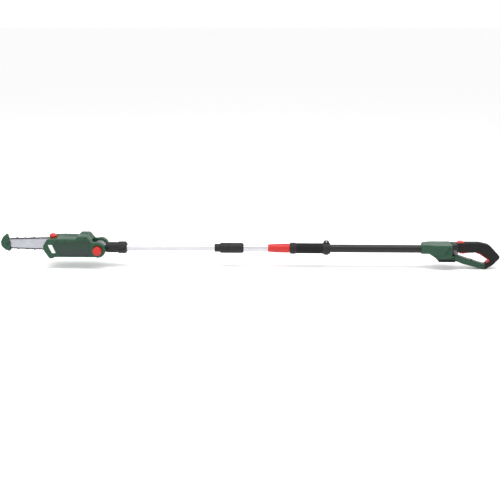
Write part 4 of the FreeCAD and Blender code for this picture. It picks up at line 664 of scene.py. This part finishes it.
# ---- Pins, nuts and springs -----------------------------------------------------------------------------
# Pins, studs, nuts and the tension screw are bought-in steel, bright zinc plated, and the springs are drawn
# wire in the same plating, coiled to fill the room between the faces that they push apart.

ZINC = "#b9bcc2"
ZINC_SHADE = "#989ba3"


def zinc_plated_steel():
    # Bright zinc plate: cool silver with cloudy crystals 2 mm across.
    material, tree, place = begin("zinc_plated_steel")
    cloud = add(tree, "ShaderNodeTexNoise", values={"Scale": per_mm(2.0), "Detail": 4.0},
                links={"Vector": place})
    colour = add(tree, "ShaderNodeMix", {"data_type": "RGBA"},
                 {6: linear(ZINC), 7: linear(ZINC_SHADE)}, {0: cloud.outputs[0]})
    rough = add(tree, "ShaderNodeMapRange", values={"To Min": 0.18, "To Max": 0.38},
                links={0: cloud.outputs[0]})
    bump = add(tree, "ShaderNodeBump", values={"Strength": 0.06, "Distance": 0.00004},
               links={"Height": cloud.outputs[0]})
    surface(tree, {"Metallic": 1.0}, {"Base Color": colour.outputs[2], "Roughness": rough.outputs[0],
                                      "Normal": bump.outputs[0]})
    return material


PLATED = zinc_plated_steel()
finish_in(PLATED, "bar_studs", "bar_nuts", "pivot_pin", "tension_screw", "trigger_pin")

SPRING_TURNS = {"trigger_spring": 8.0, "lock_off_spring": 4.0, "pivot_spring": 3.0}
WIRE_RADIUS = {"trigger_spring": 0.0005, "lock_off_spring": 0.0004, "pivot_spring": 0.0011}


def spring_tool():
    tree, given, keys = node_tool("coiled_wire", {"Turns": "NodeSocketFloat",
                                                  "Coil radius": "NodeSocketFloat",
                                                  "Length": "NodeSocketFloat",
                                                  "Wire radius": "NodeSocketFloat",
                                                  "Start": "NodeSocketVector",
                                                  "Turned": "NodeSocketVector"})
    coil = add(tree, "GeometryNodeCurveSpiral", values={"Resolution": 40},
               links={"Rotations": given.outputs["Turns"], "Start Radius": given.outputs["Coil radius"],
                      "End Radius": given.outputs["Coil radius"], "Height": given.outputs["Length"]})
    section = add(tree, "GeometryNodeCurvePrimitiveCircle", values={"Resolution": 12},
                  links={"Radius": given.outputs["Wire radius"]})
    wire = add(tree, "GeometryNodeCurveToMesh", values={"Fill Caps": True},
               links={"Curve": coil.outputs[0], "Profile Curve": section.outputs[0]})
    placed = add(tree, "GeometryNodeTransform",
                 links={"Geometry": wire.outputs[0], "Translation": given.outputs["Start"],
                        "Rotation": given.outputs["Turned"]})
    end_tool(tree, placed.outputs[0], PLATED)
    return tree, keys


def make_springs():
    tree, keys = spring_tool()
    for node, turns in SPRING_TURNS.items():
        wire = WIRE_RADIUS[node]
        coil_low, coil_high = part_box(node)
        centre = (coil_low + coil_high) / 2
        size = coil_high - coil_low
        sideways = node == "pivot_spring"
        length = (size.y if sideways else size.z) - 2 * wire
        start = Vector((centre.x, coil_high.y - wire, centre.z)) if sideways \
            else Vector((centre.x, centre.y, coil_low.z + wire))
        grown(node, bpy.data.meshes.new(node + "_start"), tree, keys,
              {"Turns": turns, "Coil radius": size.x / 2 - wire, "Length": length, "Wire radius": wire,
               "Start": start, "Turned": (math.pi / 2 if sideways else 0.0, 0.0, 0.0)})


make_springs()

# ---- Case screws ----------------------------------------------------------------------------------------
# The thread-forming screws that hold the shells, the collar, the strap ring and the guard are blackened, so
# that they sink into the dark mouldings round them.

BLACK_OXIDE = "#242427"
BLACK_OXIDE_RUBBED = "#3a3b3f"


def blackened_steel():
    # Black oxide on steel: near-black with a dull metal sheen, rubbed paler in patches 1.5 mm across.
    material, tree, place = begin("blackened_steel")
    rubbed = add(tree, "ShaderNodeTexNoise", values={"Scale": per_mm(1.5), "Detail": 4.0},
                 links={"Vector": place})
    colour = add(tree, "ShaderNodeMix", {"data_type": "RGBA"},
                 {6: linear(BLACK_OXIDE), 7: linear(BLACK_OXIDE_RUBBED)}, {0: rubbed.outputs[0]})
    rough = add(tree, "ShaderNodeMapRange", values={"To Min": 0.35, "To Max": 0.55},
                links={0: rubbed.outputs[0]})
    bump = add(tree, "ShaderNodeBump", values={"Strength": 0.08, "Distance": 0.00004},
               links={"Height": rubbed.outputs[0]})
    surface(tree, {"Metallic": 0.8}, {"Base Color": colour.outputs[2], "Roughness": rough.outputs[0],
                                      "Normal": bump.outputs[0]})
    return material


finish_in(blackened_steel(), "strap_ring_screw", "handle_screws", "collar_screws", "head_screws",
          "nose_guard_screw")

# ---- Motor, gears and bearings --------------------------------------------------------------------------
# Inside the head a can motor turns a pinion and a large gear, whose shaft runs in two bearings and carries
# the drive sprocket. Gears, shaft and bearing rings are hardened steel, ground where they run.

GEAR_STEEL = "#8b8d92"
GEAR_STEEL_DARK = "#6c6e74"


def hardened_gear_steel():
    # Hardened and ground steel: neutral grey, a fine 0.5 mm grain under patches of grease 9 mm across.
    material, tree, place = begin("hardened_gear_steel")
    tool = add(tree, "ShaderNodeTexNoise", values={"Scale": per_mm(0.5), "Detail": 2.0},
               links={"Vector": place})
    grease = add(tree, "ShaderNodeTexNoise", values={"Scale": per_mm(9.0), "Detail": 5.0},
                 links={"Vector": place})
    colour = add(tree, "ShaderNodeMix", {"data_type": "RGBA"},
                 {6: linear(GEAR_STEEL), 7: linear(GEAR_STEEL_DARK)}, {0: grease.outputs[0]})
    rough = add(tree, "ShaderNodeMapRange", values={"To Min": 0.2, "To Max": 0.45},
                links={0: grease.outputs[0]})
    bump = add(tree, "ShaderNodeBump", values={"Strength": 0.1, "Distance": 0.00004},
               links={"Height": tool.outputs[0]})
    surface(tree, {"Metallic": 1.0}, {"Base Color": colour.outputs[2], "Roughness": rough.outputs[0],
                                      "Normal": bump.outputs[0]})
    return material


finish_in(hardened_gear_steel(), "motor_rotor", "output_shaft", "output_gear", "drive_sprocket",
          "nose_sprocket", "output_bearings", "motor_can", "battery_cells")

# ---- Tension block --------------------------------------------------------------------------------------
# A small sawn brass block, tapped for the tension screw, so that steel runs on brass.

BRASS = "#b08d45"
BRASS_TARNISH = "#8a6a33"


def sawn_brass():
    # Sawn brass bar: yellow with brown tarnish in patches 3 mm across, saw lines 0.6 mm apart.
    material, tree, place = begin("sawn_brass")
    saw = add(tree, "ShaderNodeTexWave", {"bands_direction": "X"},
              {"Scale": per_mm(4.0), "Distortion": 1.5, "Detail": 2.0}, {"Vector": place})
    tarnish = add(tree, "ShaderNodeTexNoise", values={"Scale": per_mm(3.0), "Detail": 5.0},
                  links={"Vector": place})
    colour = add(tree, "ShaderNodeMix", {"data_type": "RGBA"},
                 {6: linear(BRASS), 7: linear(BRASS_TARNISH)}, {0: tarnish.outputs[0]})
    rough = add(tree, "ShaderNodeMapRange", values={"To Min": 0.25, "To Max": 0.5},
                links={0: tarnish.outputs[0]})
    bump = add(tree, "ShaderNodeBump", values={"Strength": 0.1, "Distance": 0.00005},
               links={"Height": saw.outputs[1]})
    surface(tree, {"Metallic": 1.0}, {"Base Color": colour.outputs[2], "Roughness": rough.outputs[0],
                                      "Normal": bump.outputs[0]})
    return material


finish_in(sawn_brass(), "tension_block")

# ---- Oil tank -------------------------------------------------------------------------------------------
# The tank is blow moulded in natural polyethylene, so its window in the housing shows milky white and lets
# the oil level through.

TANK_WHITE = "#eef0ea"
TANK_SHADE = "#dfe2da"


def natural_polyethylene():
    # Natural polyethylene: milky, waxy and a little see-through, with a soft ripple 8 mm long.
    material, tree, place = begin("natural_polyethylene")
    ripple = add(tree, "ShaderNodeTexNoise", values={"Scale": per_mm(8.0), "Detail": 2.0},
                 links={"Vector": place})
    colour = add(tree, "ShaderNodeMix", {"data_type": "RGBA"},
                 {6: linear(TANK_WHITE), 7: linear(TANK_SHADE)}, {0: ripple.outputs[0]})
    bump = add(tree, "ShaderNodeBump", values={"Strength": 0.1, "Distance": 0.0003},
               links={"Height": ripple.outputs[0]})
    surface(tree, {"Roughness": 0.35, "IOR": 1.51, "Subsurface Weight": 0.5,
                   "Subsurface Radius": (0.004, 0.004, 0.0035), "Subsurface Scale": 1.0},
            {"Base Color": colour.outputs[2], "Normal": bump.outputs[0]})
    return material


finished("oil_tank", natural_polyethylene(), 0.6)

# ---- Side panel -----------------------------------------------------------------------------------------
# A flat panel let into the head's near side covers the motor. It is a thinner moulding in a darker shade of the
# body green and carries no lettering. Its colour fades from dark green with painted shade under its upper rim
# to a painted light grey towards its lower edge, where the recessed panel catches the light.

PANEL_GREEN_AND_SHADE = "#0a2f1d"
PANEL_PAINTED_LIGHT_GREY = "#1d2529"


def dark_panel_painted_light():
    # Moulded panel, satin, grain 0.8 mm, with painted light and shade: a painted fade from shaded dark green
    # above to lit grey below.
    material, tree, place = begin("dark_panel_painted_light")
    panel_low, panel_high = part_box("side_panel")
    split = add(tree, "ShaderNodeSeparateXYZ", links={0: place})
    # Painted light: the colour runs from painted shade at the top to a painted lit grey at the lower edge.
    painted_light_fade = add(tree, "ShaderNodeMapRange",
               values={"From Min": panel_low.z, "From Max": panel_high.z - 0.03, "To Min": 0.85, "To Max": 0.0},
               links={0: split.outputs[2]})
    grain = add(tree, "ShaderNodeTexNoise", values={"Scale": per_mm(0.8), "Detail": 2.0},
                links={"Vector": place})
    colour = add(tree, "ShaderNodeMix", {"data_type": "RGBA"},
                 {6: linear(PANEL_GREEN_AND_SHADE), 7: linear(PANEL_PAINTED_LIGHT_GREY)}, {0: painted_light_fade.outputs[0]})
    rough = add(tree, "ShaderNodeMapRange", values={"To Min": 0.25, "To Max": 0.4},
                links={0: grain.outputs[0]})
    bump = add(tree, "ShaderNodeBump", values={"Strength": 0.08, "Distance": 0.00008},
               links={"Height": grain.outputs[0]})
    surface(tree, {"IOR": 1.54, "Specular IOR Level": 0.4},
            {"Base Color": colour.outputs[2], "Roughness": rough.outputs[0], "Normal": bump.outputs[0]})
    return material


finished("side_panel", dark_panel_painted_light(), 0.3)

# ---- Vent insert ----------------------------------------------------------------------------------------
# The slanted grey insert behind the battery is moulded separately in grey ABS and pressed into the grip base,
# where it stands out as the one pale patch between the black and the green.

VENT_GREY = "#6e7173"
VENT_GREY_DARK = "#5a5d5f"


def moulded_grey_abs():
    # Moulded ABS in mid grey: dry satin, grain 0.8 mm, faint flow marks.
    material, tree, place = begin("moulded_grey_abs")
    grain = add(tree, "ShaderNodeTexNoise", values={"Scale": per_mm(0.8), "Detail": 2.0},
                links={"Vector": place})
    flow = add(tree, "ShaderNodeTexNoise", values={"Scale": per_mm(18.0), "Detail": 4.0},
               links={"Vector": place})
    colour = add(tree, "ShaderNodeMix", {"data_type": "RGBA"},
                 {6: linear(VENT_GREY), 7: linear(VENT_GREY_DARK)}, {0: flow.outputs[0]})
    rough = add(tree, "ShaderNodeMapRange", values={"To Min": 0.35, "To Max": 0.5},
                links={0: flow.outputs[0]})
    bump = add(tree, "ShaderNodeBump", values={"Strength": 0.1, "Distance": 0.00008},
               links={"Height": grain.outputs[0]})
    surface(tree, {"IOR": 1.54}, {"Base Color": colour.outputs[2], "Roughness": rough.outputs[0],
                                  "Normal": bump.outputs[0]})
    return material


finished("vent_insert", moulded_grey_abs(), 0.3)
